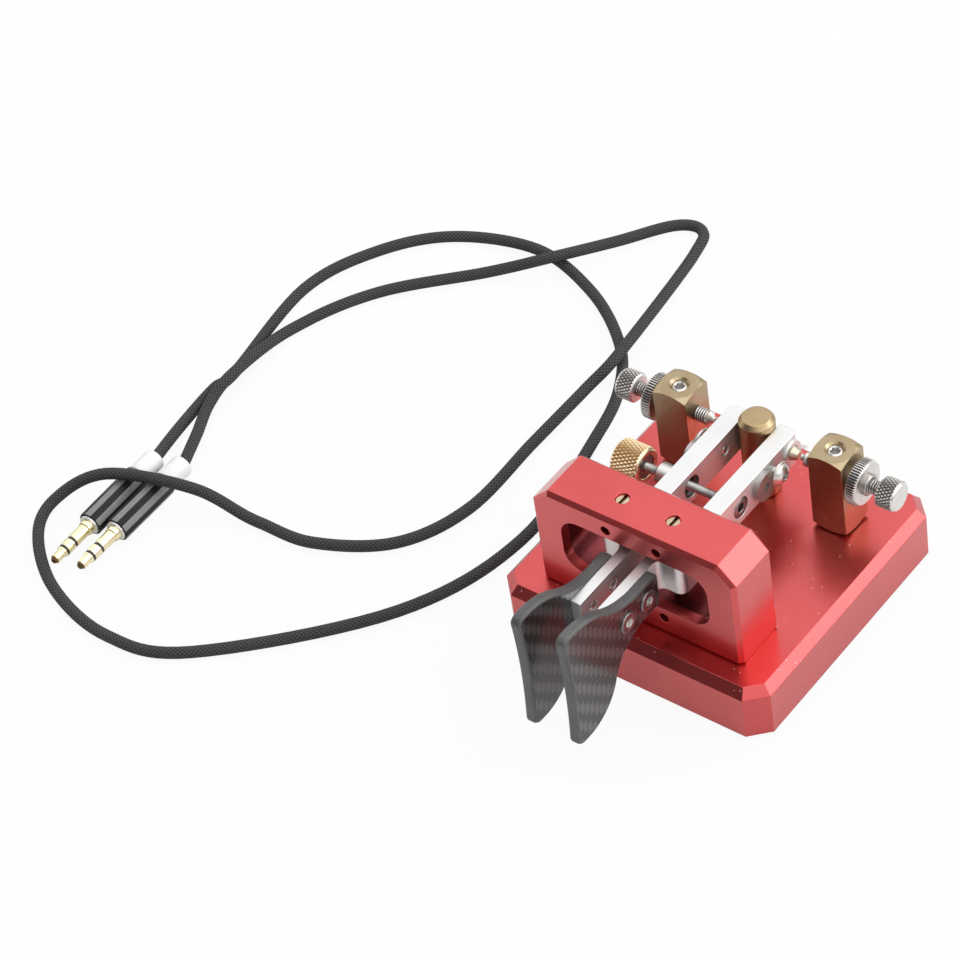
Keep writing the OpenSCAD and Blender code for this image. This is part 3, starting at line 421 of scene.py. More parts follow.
# The light and dark colour and the roughness of the posts, whose finishes are centred on each of them.
POST_BRASS = ((0.44, 0.355, 0.228), (0.38, 0.288, 0.17), (0.26, 0.36))
STOP_BRASS = ((0.46, 0.35, 0.205), (0.4, 0.29, 0.155), (0.26, 0.36))
CARBON_FACE = woven_carbon()
CARBON_RIM = moulded("carbon rim", (0.09, 0.09, 0.088), (0.06, 0.06, 0.06), (0.36, 0.48), 3500.0)
RUBBER = moulded("black rubber", (0.02, 0.02, 0.02), (0.012, 0.012, 0.012), (0.6, 0.8), 1800.0, 0.2)
GRIP_BLACK = moulded("black grip", (0.013, 0.013, 0.013), (0.009, 0.009, 0.009), (0.32, 0.42), 1500.0, 0.02,
                     Specular_IOR_Level=0.2)
# Pale grey for the grips' painted highlight stripes.
GRIP_HIGHLIGHT_FLAT = moulded("grip painted highlight", (0.2, 0.2, 0.198), (0.15, 0.15, 0.15), (0.4, 0.5), 1500.0, 0.02)
MATT_BLACK = moulded("black plastic", (0.02, 0.02, 0.02), (0.012, 0.012, 0.012), (0.35, 0.5))
WHITE_PLASTIC = moulded("white plastic", (0.74, 0.74, 0.73), (0.67, 0.67, 0.66), (0.3, 0.42))
CLOTH = braided_cloth()


# Shapes

NEAR = 0.01
STRAIGHT = 0.99
UPRIGHT_MIN = 5
SHARP = math.radians(28)
FLAT = math.radians(0.5)
SCREW_STEPS = 48
SOCKET_WITHIN = 1.2
RIM_NEAR = 1.6
GROOVE_DEEP = 0.3
KNURL_LEAN = 1.8


def span(node):
    """A CAD node's lowest and highest corners in millimetres."""
    low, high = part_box(node)
    return low / MM, high / MM


def keep(name, bm, finishes, body, nodes, smooth_below=35, flat_faces=False):
    """Makes a finished piece of a bmesh that stands for CAD nodes and rides on a body."""
    bmesh.ops.scale(bm, vec=(MM, MM, MM), verts=bm.verts)
    mesh = bpy.data.meshes.new(name)
    bm.to_mesh(mesh)
    bm.free()
    for finish in finishes:
        mesh.materials.append(finish)
    mesh.shade_smooth()
    mesh.set_sharp_from_angle(angle=math.radians(smooth_below))
    piece = bpy.data.objects.new(name, mesh)
    scene.collection.objects.link(piece)
    if flat_faces:
        even = piece.modifiers.new("even shading", "WEIGHTED_NORMAL")
        even.keep_sharp = True
    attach(piece, body)
    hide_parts(*nodes)
    return piece


def along_x(x, y, z, side):
    """Lays a shape that was drawn along Z outwards along X, on the right (1) or the left (-1)."""
    return Matrix.Translation((x, y, z)) @ Matrix.Rotation(side * math.pi / 2, 4, "Y")


def inner_end(low, high, side):
    """How far along X a piece's end lies that faces the key's middle."""
    return low.x if side > 0 else high.x


def laid_out(low, high, side):
    """The place of a shape that was drawn along Z and lies outwards from its inner end."""
    return along_x(inner_end(low, high, side), (low.y + high.y) / 2, (low.z + high.z) / 2, side)


def spun(bm, profile, steps, place, relief=None, closed=False):
    """Spins a profile of (radius, distance) pairs about Z and puts it in its place.

    relief(radius, turn, distance) gives the radius that a point gets, turn being its share of a full turn.
    How deep it cuts goes to the points' groove value. Returns the new points.
    """
    layers = bm.verts.layers.float
    groove = layers.get("groove") or layers.new("groove")
    before = set(bm.verts)
    points = [bm.verts.new((radius, 0, distance)) for radius, distance in profile]
    ends = points[1:] + points[:1] if closed else points[1:]
    edges = [bm.edges.new(pair) for pair in zip(points, ends)]
    bmesh.ops.spin(bm, geom=points + edges, cent=(0, 0, 0), axis=(0, 0, 1), dvec=(0, 0, 0),
                   angle=math.tau, steps=steps, use_merge=True)
    made = [vert for vert in bm.verts if vert not in before]
    bmesh.ops.remove_doubles(bm, verts=made, dist=0.0001)
    made = [vert for vert in bm.verts if vert not in before]
    faces = list(dict.fromkeys(face for vert in made for face in vert.link_faces))
    bmesh.ops.recalc_face_normals(bm, faces=faces)
    if relief:
        for vert in made:
            radius = math.hypot(vert.co.x, vert.co.y)
            if radius > 0.001:
                turn = math.atan2(vert.co.y, vert.co.x) / math.tau % 1
                cut_radius = relief(radius, turn, vert.co.z)
                vert[groove] = min(1, max(0, (radius - cut_radius) / GROOVE_DEEP))
                vert.co.x *= cut_radius / radius
                vert.co.y *= cut_radius / radius
    bmesh.ops.transform(bm, matrix=place, verts=made)
    return made


def hexagon(turn):
    """How much further out than the middle of its flat a hexagon's side lies."""
    return 1 / math.cos(math.radians((turn * 360 + 30) % 60 - 30))


def hex_socket(within, above):
    """Relief that makes the hollow inside a radius and above a distance six-sided."""
    def cut(radius, turn, distance):
        return radius * hexagon(turn) if radius < within and distance > above else radius
    return cut


def thread(start, end, pitch, depth):
    """Relief of a screw thread between two distances. It runs out at both ends."""
    def cut(radius, turn, distance):
        fade = min(1, (distance - start) / pitch, (end - distance) / pitch)
        if fade <= 0:
            return radius
        crest = abs((distance / pitch - turn) % 1 * 2 - 1)
        return radius - depth * crest * fade
    return cut


def rows(radius, start, end, count):
    """Points of a straight stretch of a profile, count of them after the first."""
    return [(radius, start + (end - start) * i / count) for i in range(count + 1)]


def diamond_knurled(bm, radius, start, end, teeth, depth, before, after, place, closed=False):
    """A spun shape whose rim from start to end is cut into pyramids, longer along the axis than around it."""
    steps = 2 * teeth
    count = max(2, round((end - start) / (KNURL_LEAN * math.pi * radius / teeth)))
    row = (end - start) / count

    def is_valley(turn, distance):
        return (round(turn * steps) + round((distance - start) / row)) % 2 == 1

    def cut(point_radius, turn, distance):
        rim = point_radius > radius - NEAR and start - NEAR < distance < end + NEAR
        return point_radius - depth if rim and is_valley(turn, distance) else point_radius

    def was_cut(vert):
        far = math.hypot(vert.co.x, vert.co.y)
        return abs(far - radius + depth) < NEAR and start - NEAR < vert.co.z < end + NEAR

    profile = before + rows(radius, start, end, count) + after
    made = spun(bm, profile, steps, Matrix.Identity(4), cut, closed)
    bmesh.ops.connect_verts(bm, verts=[vert for vert in made if was_cut(vert)])
    bmesh.ops.transform(bm, matrix=place, verts=made)


def bevel_edges(bm, edges, width, segments):
    bmesh.ops.bevel(bm, geom=edges, offset=width, offset_type="OFFSET", affect="EDGES", segments=segments,
                    profile=0.5, material=-1, clamp_overlap=False, loop_slide=True)


def is_upright(edge):
    """Whether a long edge stands straight up."""
    return abs(edge.verts[0].co.z - edge.verts[1].co.z) > STRAIGHT * edge.calc_length() > UPRIGHT_MIN


def eased(node, width, segments=2, upright=False, foot=0.0):
    """A copy of a CAD node in millimetres, its faces joined and its sharp edges rounded.

    With upright, only the upright edges are. The edges round its underside are first bevelled by the
    width of the foot.
    """
    bm = bmesh.new()
    bm.from_mesh(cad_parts[node].data)
    bmesh.ops.scale(bm, vec=(1 / MM, 1 / MM, 1 / MM), verts=bm.verts)
    bmesh.ops.remove_doubles(bm, verts=bm.verts, dist=0.001)
    bmesh.ops.dissolve_limit(bm, angle_limit=FLAT, verts=bm.verts, edges=bm.edges)
    if foot:
        low, high = span(node)

        def at_rim(edge):
            at = (edge.verts[0].co + edge.verts[1].co) / 2
            return min(at.x - low.x, high.x - at.x, at.y - low.y, high.y - at.y) < RIM_NEAR

        under = [edge for edge in bm.edges if all(vert.co.z < low.z + NEAR for vert in edge.verts)]
        rim = [edge for edge in under if edge.calc_face_angle() > SHARP and at_rim(edge)]
        bevel_edges(bm, rim, foot, 1)
    sharp = [edge for edge in bm.edges if edge.is_manifold and edge.calc_face_angle() > SHARP]
    if upright:
        sharp = [edge for edge in sharp if is_upright(edge)]
    bevel_edges(bm, sharp, width, segments)
    return bm


def paint(bm, index, chosen):
    """Gives the chosen faces the finish at an index."""
    for face in bm.faces:
        if chosen(face):
            face.material_index = index


def off_line(face, y, z):
    """How far a face's middle lies from a line along X."""
    at = face.calc_center_median()
    return math.hypot(at.y - y, at.z - z)


# Cord and plugs

CORD_D = 3.2
CORD_REST = 1.7
CORD_STEPS = 10
CORD_SIDES = 16
CORD_ROUTE = (
    (-155.2, -41, 3.4), (-158, -28, 2.4), (-160.2, -11.3, 1.7), (-159.3, -2.7, 1.7), (-164, 33.3, 1.7),
    (-155.6, 56.2, 1.7), (-140, 72, 1.7), (-116, 79, 1.7), (-93, 72.4, 1.7), (-74.8, 60.1, 1.7),
    (-64.3, 46.6, 1.7), (-58.1, 28, 1.7), (-52.2, -14.3, 1.7), (-64.8, -51.2, 1.7),
    (-101.7, -89.2, 1.7), (-124.9, -96.3, 1.7), (-148.3, -90.7, 1.7), (-165.2, -78.1, 1.7),
    (-169.3, -66.3, 2.8), (-159.1, -55.6, 8.2), (-134.8, -47.9, 8.1), (-118.4, -44.6, 1.9),
    (-99.6, -43.1, 1.7), (-80.1, -31.9, 1.7), (-71, -12, 1.7), (-71, 16.8, 1.7), (-70, 38.7, 3),
    (-68.6, 53.2, 5.4), (-76, 97, 1.7), (-79.8, 107.7, 1.7), (-88, 106, 1.7), (-98, 92, 2.4),
    (-107, 76, 5.4), (-122, 64, 2.4), (-144.6, 42.6, 1.7), (-156.4, 18.4, 1.9), (-156.9, -5.3, 4.8),
    (-156.4, -16.7, 3.1), (-151.8, -27.6, 3), (-147, -39, 3.4),
)
# Where the cord leaves each plug, and how far the plug is turned about Z.
PLUGS = {"a": ((-155.2, -41, 3.4), 2), "b": ((-147, -39, 3.4), 1)}
PLUG_LENGTH = 43.5
PLUG_STEPS = 32
TIP_CONE_END = 0.85
COLLAR_RING = 14.85
GRIP_FLATS = 12
GRIP_EASE = 0.1
# A plug's turned outlines, as radius and distance from the end of its tip.
TIP = [(0, 0), (0.6, 0), (0.72, 0.06), (1.24, TIP_CONE_END), (1.33, 1.0), (1.34, 1.5), (1.27, 2.5),
       (1.25, 3.1), (1.36, 3.5), (1.62, 3.85), (1.68, 4.05), (1.68, 4.3), (0, 4.3)]
MIDDLE_RING = [(0, 4.95), (1.66, 4.95), (1.75, 5.05), (1.75, 7.5), (1.66, 7.6), (0, 7.6)]
SHANK = [(0, 8.3), (1.66, 8.3), (1.75, 8.4), (1.75, 13.2), (2.0, 13.25), (2.1, 13.35),
         (2.12, COLLAR_RING), (2.8, COLLAR_RING), (2.9, 14.95), (2.9, 15.4), (0, 15.4)]
DARK_RINGS = [(0, 4.2), (1.7, 4.2), (1.7, 8.4), (0, 8.4)]
BOOT = [(0, 35.5), (2.7, 35.5), (3.1, 35.9), (3.1, 42.9), (2.9, 43.4), (2.6, 43.5), (1.7, 43.5),
        (1.62, 42.9), (0, 42.9)]


def cord_line(route, per_span):
    """The smooth line through the cord's route, by the same rule as the part's own source."""
    last = len(route) - 1
    line = []
    for i in range(last):
        p, q, r, s = (Vector(route[max(0, min(last, i + k))]) for k in (-1, 0, 1, 2))
        for step in range(per_span):
            t = step / per_span
            bend = (2 * p - 5 * q + 4 * r - s) * t * t + (3 * q - p - 3 * r + s) * t ** 3
            point = (2 * q + (r - p) * t + bend) / 2
            point.z = max(point.z, CORD_REST)
            line.append(point)
    line.append(Vector(route[last]))
    return line


def across(line, i):
    """The place of the ring at a point of the line, square to it."""
    way = (line[min(i + 1, len(line) - 1)] - line[max(i - 1, 0)]).normalized()
    side = way.cross(Vector((0, 0, 1))).normalized()
    turn = Matrix((side, way.cross(side) * -1, way)).transposed().to_4x4()
    return Matrix.Translation(line[i]) @ turn


def patch_cord():
    line = cord_line(CORD_ROUTE, CORD_STEPS)
    bm = bmesh.new()
    along = bm.verts.layers.float.new("along")
    around = bm.verts.layers.float.new("around")
    ring = bmesh.ops.create_circle(bm, segments=CORD_SIDES, radius=CORD_D / 2)["verts"]
    for i, vert in enumerate(ring):
        vert[around] = i / CORD_SIDES
    place = across(line, 0)
    bmesh.ops.transform(bm, matrix=place, verts=ring)
    edges = list(bm.edges)
    far = 0.0
    for i in range(1, len(line)):
        far += (line[i] - line[i - 1]).length
        made = bmesh.ops.extrude_edge_only(bm, edges=edges)["geom"]
        ring = [part for part in made if isinstance(part, bmesh.types.BMVert)]
        edges = [part for part in made if isinstance(part, bmesh.types.BMEdge)]
        edges = [edge for edge in edges if all(vert in ring for vert in edge.verts)]
        for vert in ring:
            vert[along] = far
        next_place = across(line, i)
        bmesh.ops.transform(bm, matrix=next_place @ place.inverted(), verts=ring)
        place = next_place
    braid = bm.loops.layers.uv.new("braid")
    for face in bm.faces:
        seam = any(loop.vert[around] > 0.9 for loop in face.loops)
        for loop in face.loops:
            turn = loop.vert[around]
            loop[braid].uv = (loop.vert[along], turn + 1 if seam and turn < 0.1 else turn)
    bmesh.ops.holes_fill(bm, edges=[edge for edge in bm.edges if edge.is_boundary], sides=0)
    bmesh.ops.recalc_face_normals(bm, faces=bm.faces)
    cord = keep("patch_cord_braid", bm, [CLOTH], "frame", ["patch_cable"], smooth_below=60)


def plug_place(rear, yaw):
    return (
        Matrix.Translation(rear)
        @ Matrix.Rotation(math.radians(yaw), 4, "Z")
        @ Matrix.Rotation(-math.pi / 2, 4, "X")
        @ Matrix.Translation((0, 0, -PLUG_LENGTH))
    )


def plugs():
    for plug, (rear, yaw) in PLUGS.items():
        place = plug_place(rear, yaw)
        back = place.inverted()

        def along_plug(face):
            return (back @ face.calc_center_median()).z

        def is_highlight_flat(face):
            out = back.to_3x3() @ face.normal
            flat = math.atan2(out.y, out.x) / math.tau * GRIP_FLATS
            return abs(out.z) < 0.5 and abs(flat - round(flat)) < 0.3 and round(flat) % 2 == 1

        gilt = bmesh.new()
        for profile in (TIP, MIDDLE_RING, SHANK):
            spun(gilt, profile, PLUG_STEPS, place)
        # Painted reflection: the end cone of the tip is dark brass for the dark it reflects.
        paint(gilt, 1, lambda face: along_plug(face) < TIP_CONE_END - 0.05)
        paint(gilt, 2, lambda face: along_plug(face) > COLLAR_RING - NEAR)
        keep(f"plug_{plug}_gilt", gilt, [GILT, SHADE_DARK_BRASS, SATIN], "frame", [f"plug_{plug}_pin"])
        rings = bmesh.new()
        spun(rings, DARK_RINGS, PLUG_STEPS, place)
        keep(f"plug_{plug}_rings", rings, [MATT_BLACK], "frame", [])
        grip = eased(f"plug_{plug}_barrel", GRIP_EASE)
        grip.normal_update()
        # Painted highlight: every other flat of the grip is pale grey, for the stripes of light its flats
        # reflect.
        paint(grip, 1, is_highlight_flat)
        keep(f"plug_{plug}_grip", grip, [GRIP_BLACK, GRIP_HIGHLIGHT_FLAT], "frame", [f"plug_{plug}_barrel"])
        boot = bmesh.new()
        spun(boot, BOOT, PLUG_STEPS, place)
        keep(f"plug_{plug}_boot", boot, [WHITE_PLASTIC], "frame", [f"plug_{plug}_sleeve"])


# Base, bridge, levers and paddles

BODY_EASE = 0.12
BRIDGE_FOOT = 0.7
LIP = 2.8
POCKET_HALF = 23.5
POCKET_FLOOR = 7
POCKET_ROOF = 27
LEVER_EASE = 0.14
BORE_R = 3.3
BORE_START = 0.2
BORE_DEEP = 4.8
PADDLE_EASE = 0.75
PADDLE_HEAD_R = 2.9
PADDLE_HEAD_TALL = 0.5
PADDLE_SOCKET_R = 1.3


def body_castings():
    base = eased("base", BODY_EASE)
    keep("base_eased", base, [DUSTY_SHADED_RED], "frame", ["base"], flat_faces=True)
    low, high = span("bridge")

    def in_shaded_pocket(face):
        at = face.calc_center_median()
        inside = low.y + LIP < at.y < high.y - 0.2 and abs(at.x) < POCKET_HALF
        return inside and POCKET_FLOOR < at.z - low.z < POCKET_ROOF

    bridge = eased("bridge", BODY_EASE, foot=BRIDGE_FOOT)
    # Painted shade: the faces inside the tunnel take the darker red.
    paint(bridge, 1, in_shaded_pocket)
    keep("bridge_eased", bridge, [BLASTED_RED, SHADED_POCKET_RED], "frame", ["bridge"], flat_faces=True)


def levers():
    low, high = span("tension_screw")
    y, z = (low.y + high.y) / 2, (low.z + high.z) / 2
    for side in SIDES:
        low, high = span(f"{side}_trim_screw")
        start = min(abs(low.x), abs(high.x)) + BORE_START

        def in_shaded_bore(face):
            out = abs(face.calc_center_median().x)
            return off_line(face, y, z) < BORE_R and start < out < start + BORE_DEEP

        bm = eased(f"{side}_lever", LEVER_EASE)
        # Painted shade: the faces inside the bore on the tension screw's line are darker steel.
        paint(bm, 1, in_shaded_bore)
        keep(f"{side}_lever_eased", bm, [SATIN, DULL_STEEL_AND_SHADE], f"{side}_arm", [f"{side}_lever"],
             flat_faces=True)


def paddles():
    for side in SIDES:
        bm = eased(f"{side}_paddle", PADDLE_EASE, segments=4)
        bm.normal_update()
        paint(bm, 1, lambda face: abs(face.normal.x) < STRAIGHT)
        keep(f"{side}_paddle_carbon", bm, [CARBON_FACE, CARBON_RIM], f"{side}_arm", [f"{side}_paddle"],
             flat_faces=True)


def paddle_screw_heads():
    """The low round heads on the paddles, each with a six-sided socket, and their shanks. The sockets and the
    shanks' inner ends are bright nickel as painted highlight on the darker steel.
    """
    for side, sign in SIDES.items():
        low, high = span(f"{side}_paddle_screws")
        inner, outer = (low.x, high.x) if sign > 0 else (high.x, low.x)
        seat = abs(outer) - PADDLE_HEAD_TALL
        reach = seat - abs(inner)
        z = (low.z + high.z) / 2
        middles = (low.y + PADDLE_HEAD_R, high.y - PADDLE_HEAD_R)

        def is_painted_highlight(face):
            in_socket = min(off_line(face, y, z) for y in middles) < PADDLE_SOCKET_R
            return in_socket or abs(face.calc_center_median().x) < seat - 1

        shank = [(0, -reach), (0.6, 0.05 - reach), (1.1, 0.25 - reach), (1.42, 0.7 - reach),
                 (1.5, 1 - reach), (1.5, 0)]
        head = [(2.82, 0), (2.9, 0.08), (2.9, 0.3), (2.82, 0.42), (2.68, 0.49), (2.5, 0.5), (1.3, 0.5),
                (1.12, 0.4), (1.12, -0.4), (0, -0.4)]
        bm = bmesh.new()
        for y in middles:
            spun(bm, shank + head, SCREW_STEPS, along_x(sign * seat, y, z, sign),
                 hex_socket(SOCKET_WITHIN, -PADDLE_HEAD_TALL))
        # Painted highlight: the sockets and the inner ends are given the bright nickel.
        paint(bm, 1, is_painted_highlight)
        keep(f"{side}_paddle_screw_heads", bm, [DULL_STEEL_AND_SHADE, NICKEL], f"{side}_arm",
             [f"{side}_paddle_screws"])


# Posts and contacts

POST_EASE = 0.2
STOP_STEPS = 72
CONTACT_R = 2
CONTACT_PITCH = 0.7
CONTACT_THREAD_DEEP = 0.36
THREAD_ROWS = 8
THREAD_STEPS = 24
BORED_R = 2.05
KNOB_TEETH = 27
KNOB_KNURL_DEEP = 0.36
LOCK_TEETH = 54
LOCK_RIDGE_DEEP = 0.42
LOCK_COLLAR = 1.2


def posts():
    for side in SIDES:
        low, high = span(f"{side}_post")
        finish = turned_metal(f"{side} post brass", *POST_BRASS, (low + high) / 2 * MM)
        bm = eased(f"{side}_post", POST_EASE, upright=True)
        keep(f"{side}_post_eased", bm, [finish], "frame", [f"{side}_post"], smooth_below=25,
             flat_faces=True)


def stop_post():
    low, high = span("stop_post")
    middle = (low + high) / 2
    radius = (high.x - low.x) / 2
    tall = high.z - low.z
    bm = bmesh.new()
    spun(bm, [(0, 0), (radius - 0.6, 0), (radius, 0.6), (radius, tall - 1.45), (radius - 0.04, tall - 1.3),
              (radius - 0.12, tall - 1.18), (radius - 0.96, tall - 0.16), (radius - 1.08, tall - 0.05),
              (radius - 1.22, tall), (0, tall)], STOP_STEPS,
         Matrix.Translation((middle.x, middle.y, low.z)))
    finish = turned_metal("stop post brass", *STOP_BRASS, middle * MM)
    keep("stop_post_turned", bm, [finish], "frame", ["stop_post"], smooth_below=50, flat_faces=True)


def contact_screws():
    for side, sign in SIDES.items():
        low, high = span(f"{side}_contact_screw")
        length = high.x - low.x
        end = length - 0.4
        count = round((length - 2.4) / CONTACT_PITCH * THREAD_ROWS)
        tip = [(0, 0), (0.8, 0), (0.9, 0.1), (0.9, 0.6), (CONTACT_R, 1.6)]
        profile = tip + rows(CONTACT_R, 2, end, count) + [(CONTACT_R, length), (0, length)]
        bm = bmesh.new()
        spun(bm, profile, THREAD_STEPS, laid_out(low, high, sign),
             thread(1.9, end, CONTACT_PITCH, CONTACT_THREAD_DEEP))
        keep(f"{side}_contact_thread", bm, [NICKEL], f"{side}_contact", [f"{side}_contact_screw"])


def clamp_screws():
    """The two set screws in the tops of the posts, each with a six-sided socket."""
    low, high = span("contact_clamp_screws")
    radius = (high.y - low.y) / 2
    length = high.z - low.z + 0.4
    profile = [(0, 0), (radius - 0.3, 0), (radius, 0.3), (radius, length - 0.4),
               (radius - 0.35, length - 0.06), (radius - 0.45, length), (1.5, length),
               (1.42, length - 0.06), (1.15, length - 0.4), (1.15, length - 1.6), (0, length - 1.75)]
    bm = bmesh.new()
    for sign in SIDES.values():
        place = Matrix.Translation((sign * (high.x - radius), (low.y + high.y) / 2, low.z))
        spun(bm, profile, SCREW_STEPS, place, hex_socket(SOCKET_WITHIN, 0))
    # Painted shade: the deeper walls and floor of each socket, and the hidden shank, are darker steel.
    paint(bm, 1, lambda face: low.z + 1 < face.calc_center_median().z < low.z + length - 1.3)
    keep("clamp_screw_sockets", bm, [NICKEL, DULL_STEEL_AND_SHADE], "frame", ["contact_clamp_screws"])


def contact_knobs():
    for side, sign in SIDES.items():
        low, high = span(f"{side}_contact_knob")
        start = inner_end(low, high, sign)
        length = high.x - low.x
        radius = (high.y - low.y) / 2
        before = [(0, length - 0.45), (BORED_R, length - 0.45), (BORED_R, 0), (radius - 0.6, 0),
                  (radius - 0.28, 0.3)]
        after = [(radius - 0.28, length - 0.45), (radius - 0.5, length - 0.1), (radius - 0.62, length),
                 (0, length)]
        bm = bmesh.new()
        diamond_knurled(bm, radius, 0.5, length - 0.7, KNOB_TEETH, KNOB_KNURL_DEEP, before, after,
                        laid_out(low, high, sign))
        paint(bm, 1, lambda face: abs(face.calc_center_median().x - start) < 0.2)
        keep(f"{side}_knob_knurled", bm, [NICKEL, SATIN], f"{side}_knob", [f"{side}_contact_knob"],
             smooth_below=20)


def lock_nuts():
    for side, sign in SIDES.items():
        low, high = span(f"{side}_lock_nut")
        start = inner_end(low, high, sign)
        radius = (high.y - low.y) / 2
        length = high.x - low.x
        rim = length - LOCK_COLLAR

        def cut(point_radius, turn, distance):
            valley = round(turn * 4 * LOCK_TEETH) % 4 in (1, 2)
            return point_radius - LOCK_RIDGE_DEEP * valley if point_radius > radius - 0.05 else point_radius

        profile = [(BORED_R, 0), (3.2, 0), (3.2, 1.08), (radius - 0.45, 1.08), (radius - 0.4, 1.1),
                   (radius, 1.25), (radius, rim - 0.5), (radius - 0.42, rim - 0.15), (radius - 0.6, rim),
                   (2.9, rim), (2.9, length - 0.4), (2.5, length), (BORED_R, length)]
        bm = bmesh.new()
        spun(bm, profile, 4 * LOCK_TEETH, laid_out(low, high, sign), cut, closed=True)
        paint(bm, 1, lambda face: abs(face.calc_center_median().x - start) > rim + 0.05)
        keep(f"{side}_lock_nut_ridged", bm, [NICKEL, GREY_STEEL], f"{side}_lock", [f"{side}_lock_nut"],
             smooth_below=20)


# Tension, trim and pivots

TENSION_R = 1.25
TENSION_PITCH = 0.5
TENSION_THREAD_DEEP = 0.27
TENSION_HEAD_TALL = 3
TENSION_TEETH = 31
TENSION_KNURL_DEEP = 0.4
RECESS_R = 3.3
TRIM_HEAD_TALL = 3.52
TRIM_FLANGE_TOP = 2.1
PIVOT_EASE = 0.2
PIVOT_SLOT_DEEP = 1.6


def tension_screw():
    low, high = span("tension_screw")
    length = high.x - low.x
    head = length - TENSION_HEAD_TALL
    end = head - 0.6
    count = round((head - 1.2) / TENSION_PITCH * THREAD_ROWS)
    socket = hex_socket(1.35, head)
    groove = thread(0.4, end, TENSION_PITCH, TENSION_THREAD_DEEP)

    def cut(radius, turn, distance):
        return socket(radius, turn, distance) if distance > head else groove(radius, turn, distance)

    shank = [(0, 0), (TENSION_R - 0.25, 0)] + rows(TENSION_R, 0.4, end, count) + [(TENSION_R, head)]
    cap = [(2.65, head), (2.75, head + 0.1), (2.75, length - 0.3), (2.6, length - 0.08), (2.45, length),
           (1.3, length), (1.2, length - 0.1), (1.2, length - 1.8), (0, length - 1.8)]
    bm = bmesh.new()
    spun(bm, shank + cap, THREAD_STEPS, laid_out(low, high, 1), cut)
    # Painted shade: the head, which sits in the tension nut's recess, is darker steel than the shank.
    paint(bm, 1, lambda face: face.calc_center_median().x > low.x + head - 0.1)
    keep("tension_screw_thread", bm, [NICKEL, DULL_STEEL_AND_SHADE], "right_arm", ["tension_screw"])


def tension_nut():
    low, high = span("tension_screw")
    y, z = (low.y + high.y) / 2, (low.z + high.z) / 2
    low, high = span("tension_nut")
    radius = (high.y - low.y) / 2
    length = high.x - low.x
    bored = TENSION_R + 0.05
    before = [(bored, length), (bored, 3.35), (3.25, 3.35), (3.25, 0.15), (3.4, 0), (radius - 0.75, 0),
              (radius - 0.4, 0.2), (radius - 0.3, 0.6)]
    after = [(radius - 0.3, length - 0.4), (radius - 0.7, length)]
    bm = bmesh.new()
    diamond_knurled(bm, radius, 0.8, length - 0.6, TENSION_TEETH, TENSION_KNURL_DEEP, before, after,
                    along_x(high.x, y, z, -1), closed=True)
    # Painted shade: the recess and the bore are dark brass.
    paint(bm, 1, lambda face: off_line(face, y, z) < RECESS_R)
    keep("tension_nut_knurled", bm, [GOLD_BRASS, SHADE_DARK_BRASS], "tension_wheel", ["tension_nut"],
         smooth_below=20)


def trim_screws():
    """The domed screws that hold the trim discs, with a socket in the dome and a rounded inner end."""
    for side, sign in SIDES.items():
        low, high = span(f"{side}_trim_screw")
        shank = high.x - low.x - TRIM_HEAD_TALL
        top = shank + TRIM_FLANGE_TOP
        profile = [(0, 0), (0.7, 0.06), (1.15, 0.3), (1.42, 0.7), (1.5, 1), (1.5, shank), (1.25, shank),
                   (1.25, top - 0.6), (3.28, top - 0.6), (3.4, top - 0.48), (3.4, top - 0.12), (3.28, top),
                   (2.95, top), (2.9, top + 0.06), (2.65, top + 0.38), (2.4, top + 0.65),
                   (1.9, top + 1.04), (1.5, top + 1.26), (1.35, top + 1.3), (1.2, top + 1.26),
                   (1.1, top + 1.1), (1.1, top), (0, top)]
        bm = bmesh.new()
        spun(bm, profile, SCREW_STEPS, laid_out(low, high, sign), hex_socket(1.15, top - 0.1))
        keep(f"{side}_trim_screw_domed", bm, [NICKEL], f"{side}_arm", [f"{side}_trim_screw"])


def pivot_screws():
    """The slotted screws in the bridge's top, pale on their faces, with painted shade in the slots and on the
    rims.
    """
    low, high = span("upper_pivot_screws")
    radius = (high.y - low.y) / 2

    def is_slot(face):
        at = face.calc_center_median()
        out = math.hypot(abs(at.x) - high.x + radius, at.y - high.y + radius)
        return out < radius - 0.3 and high.z - PIVOT_SLOT_DEEP < at.z < high.z - 0.05

    bm = eased("upper_pivot_screws", PIVOT_EASE)
    bm.normal_update()
    # Painted shade: the slots and the rims are dark brass.
    paint(bm, 1, lambda face: is_slot(face) or face.normal.z < 0.9)
    keep("upper_pivot_screws_slotted", bm, [SLOTTED_BRASS, SHADE_DARK_BRASS], "frame", ["upper_pivot_screws"],
         flat_faces=True)


def carried_finishes():
    """Finishes for the CAD nodes that show as they are."""
    finishes = {
        PALE_CONTACT: ("left_contact_button", "right_contact_button"),
        # The lower pivot screws, in shade under the lever hubs, are dark brass as painted shade.
        SHADE_DARK_BRASS: ("lower_pivot_screws", "left_bearings", "right_bearings"),
        DARK_STEEL: ("pivot_lock_screws", "bridge_screws", "stop_screw", "post_screws"),
        NICKEL: ("jack_nut", "lever_magnet"),
        DULL_STEEL_AND_SHADE: ("nut_magnet",),
        GREY_STEEL: ("left_trim_disc", "right_trim_disc"),
        WHITE_PLASTIC: ("post_insulators",),
        MATT_BLACK: ("output_jack",),
        RUBBER: ("rubber_pad",),
        COPPER: ("wiring",),
    }
    for finish, nodes in finishes.items():
        for node in nodes:
            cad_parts[node].material_slots[0].material = finish


# Stage, in metres

WHITE = (1, 1, 1)
FLOOR_GREY = (0.7, 0.7, 0.7)
FLOOR_SEEN = 0.92
FLOOR_MIRRORED = 0.2
FLOOR_HALF = 5
FLOOR_DROP = 0.0001
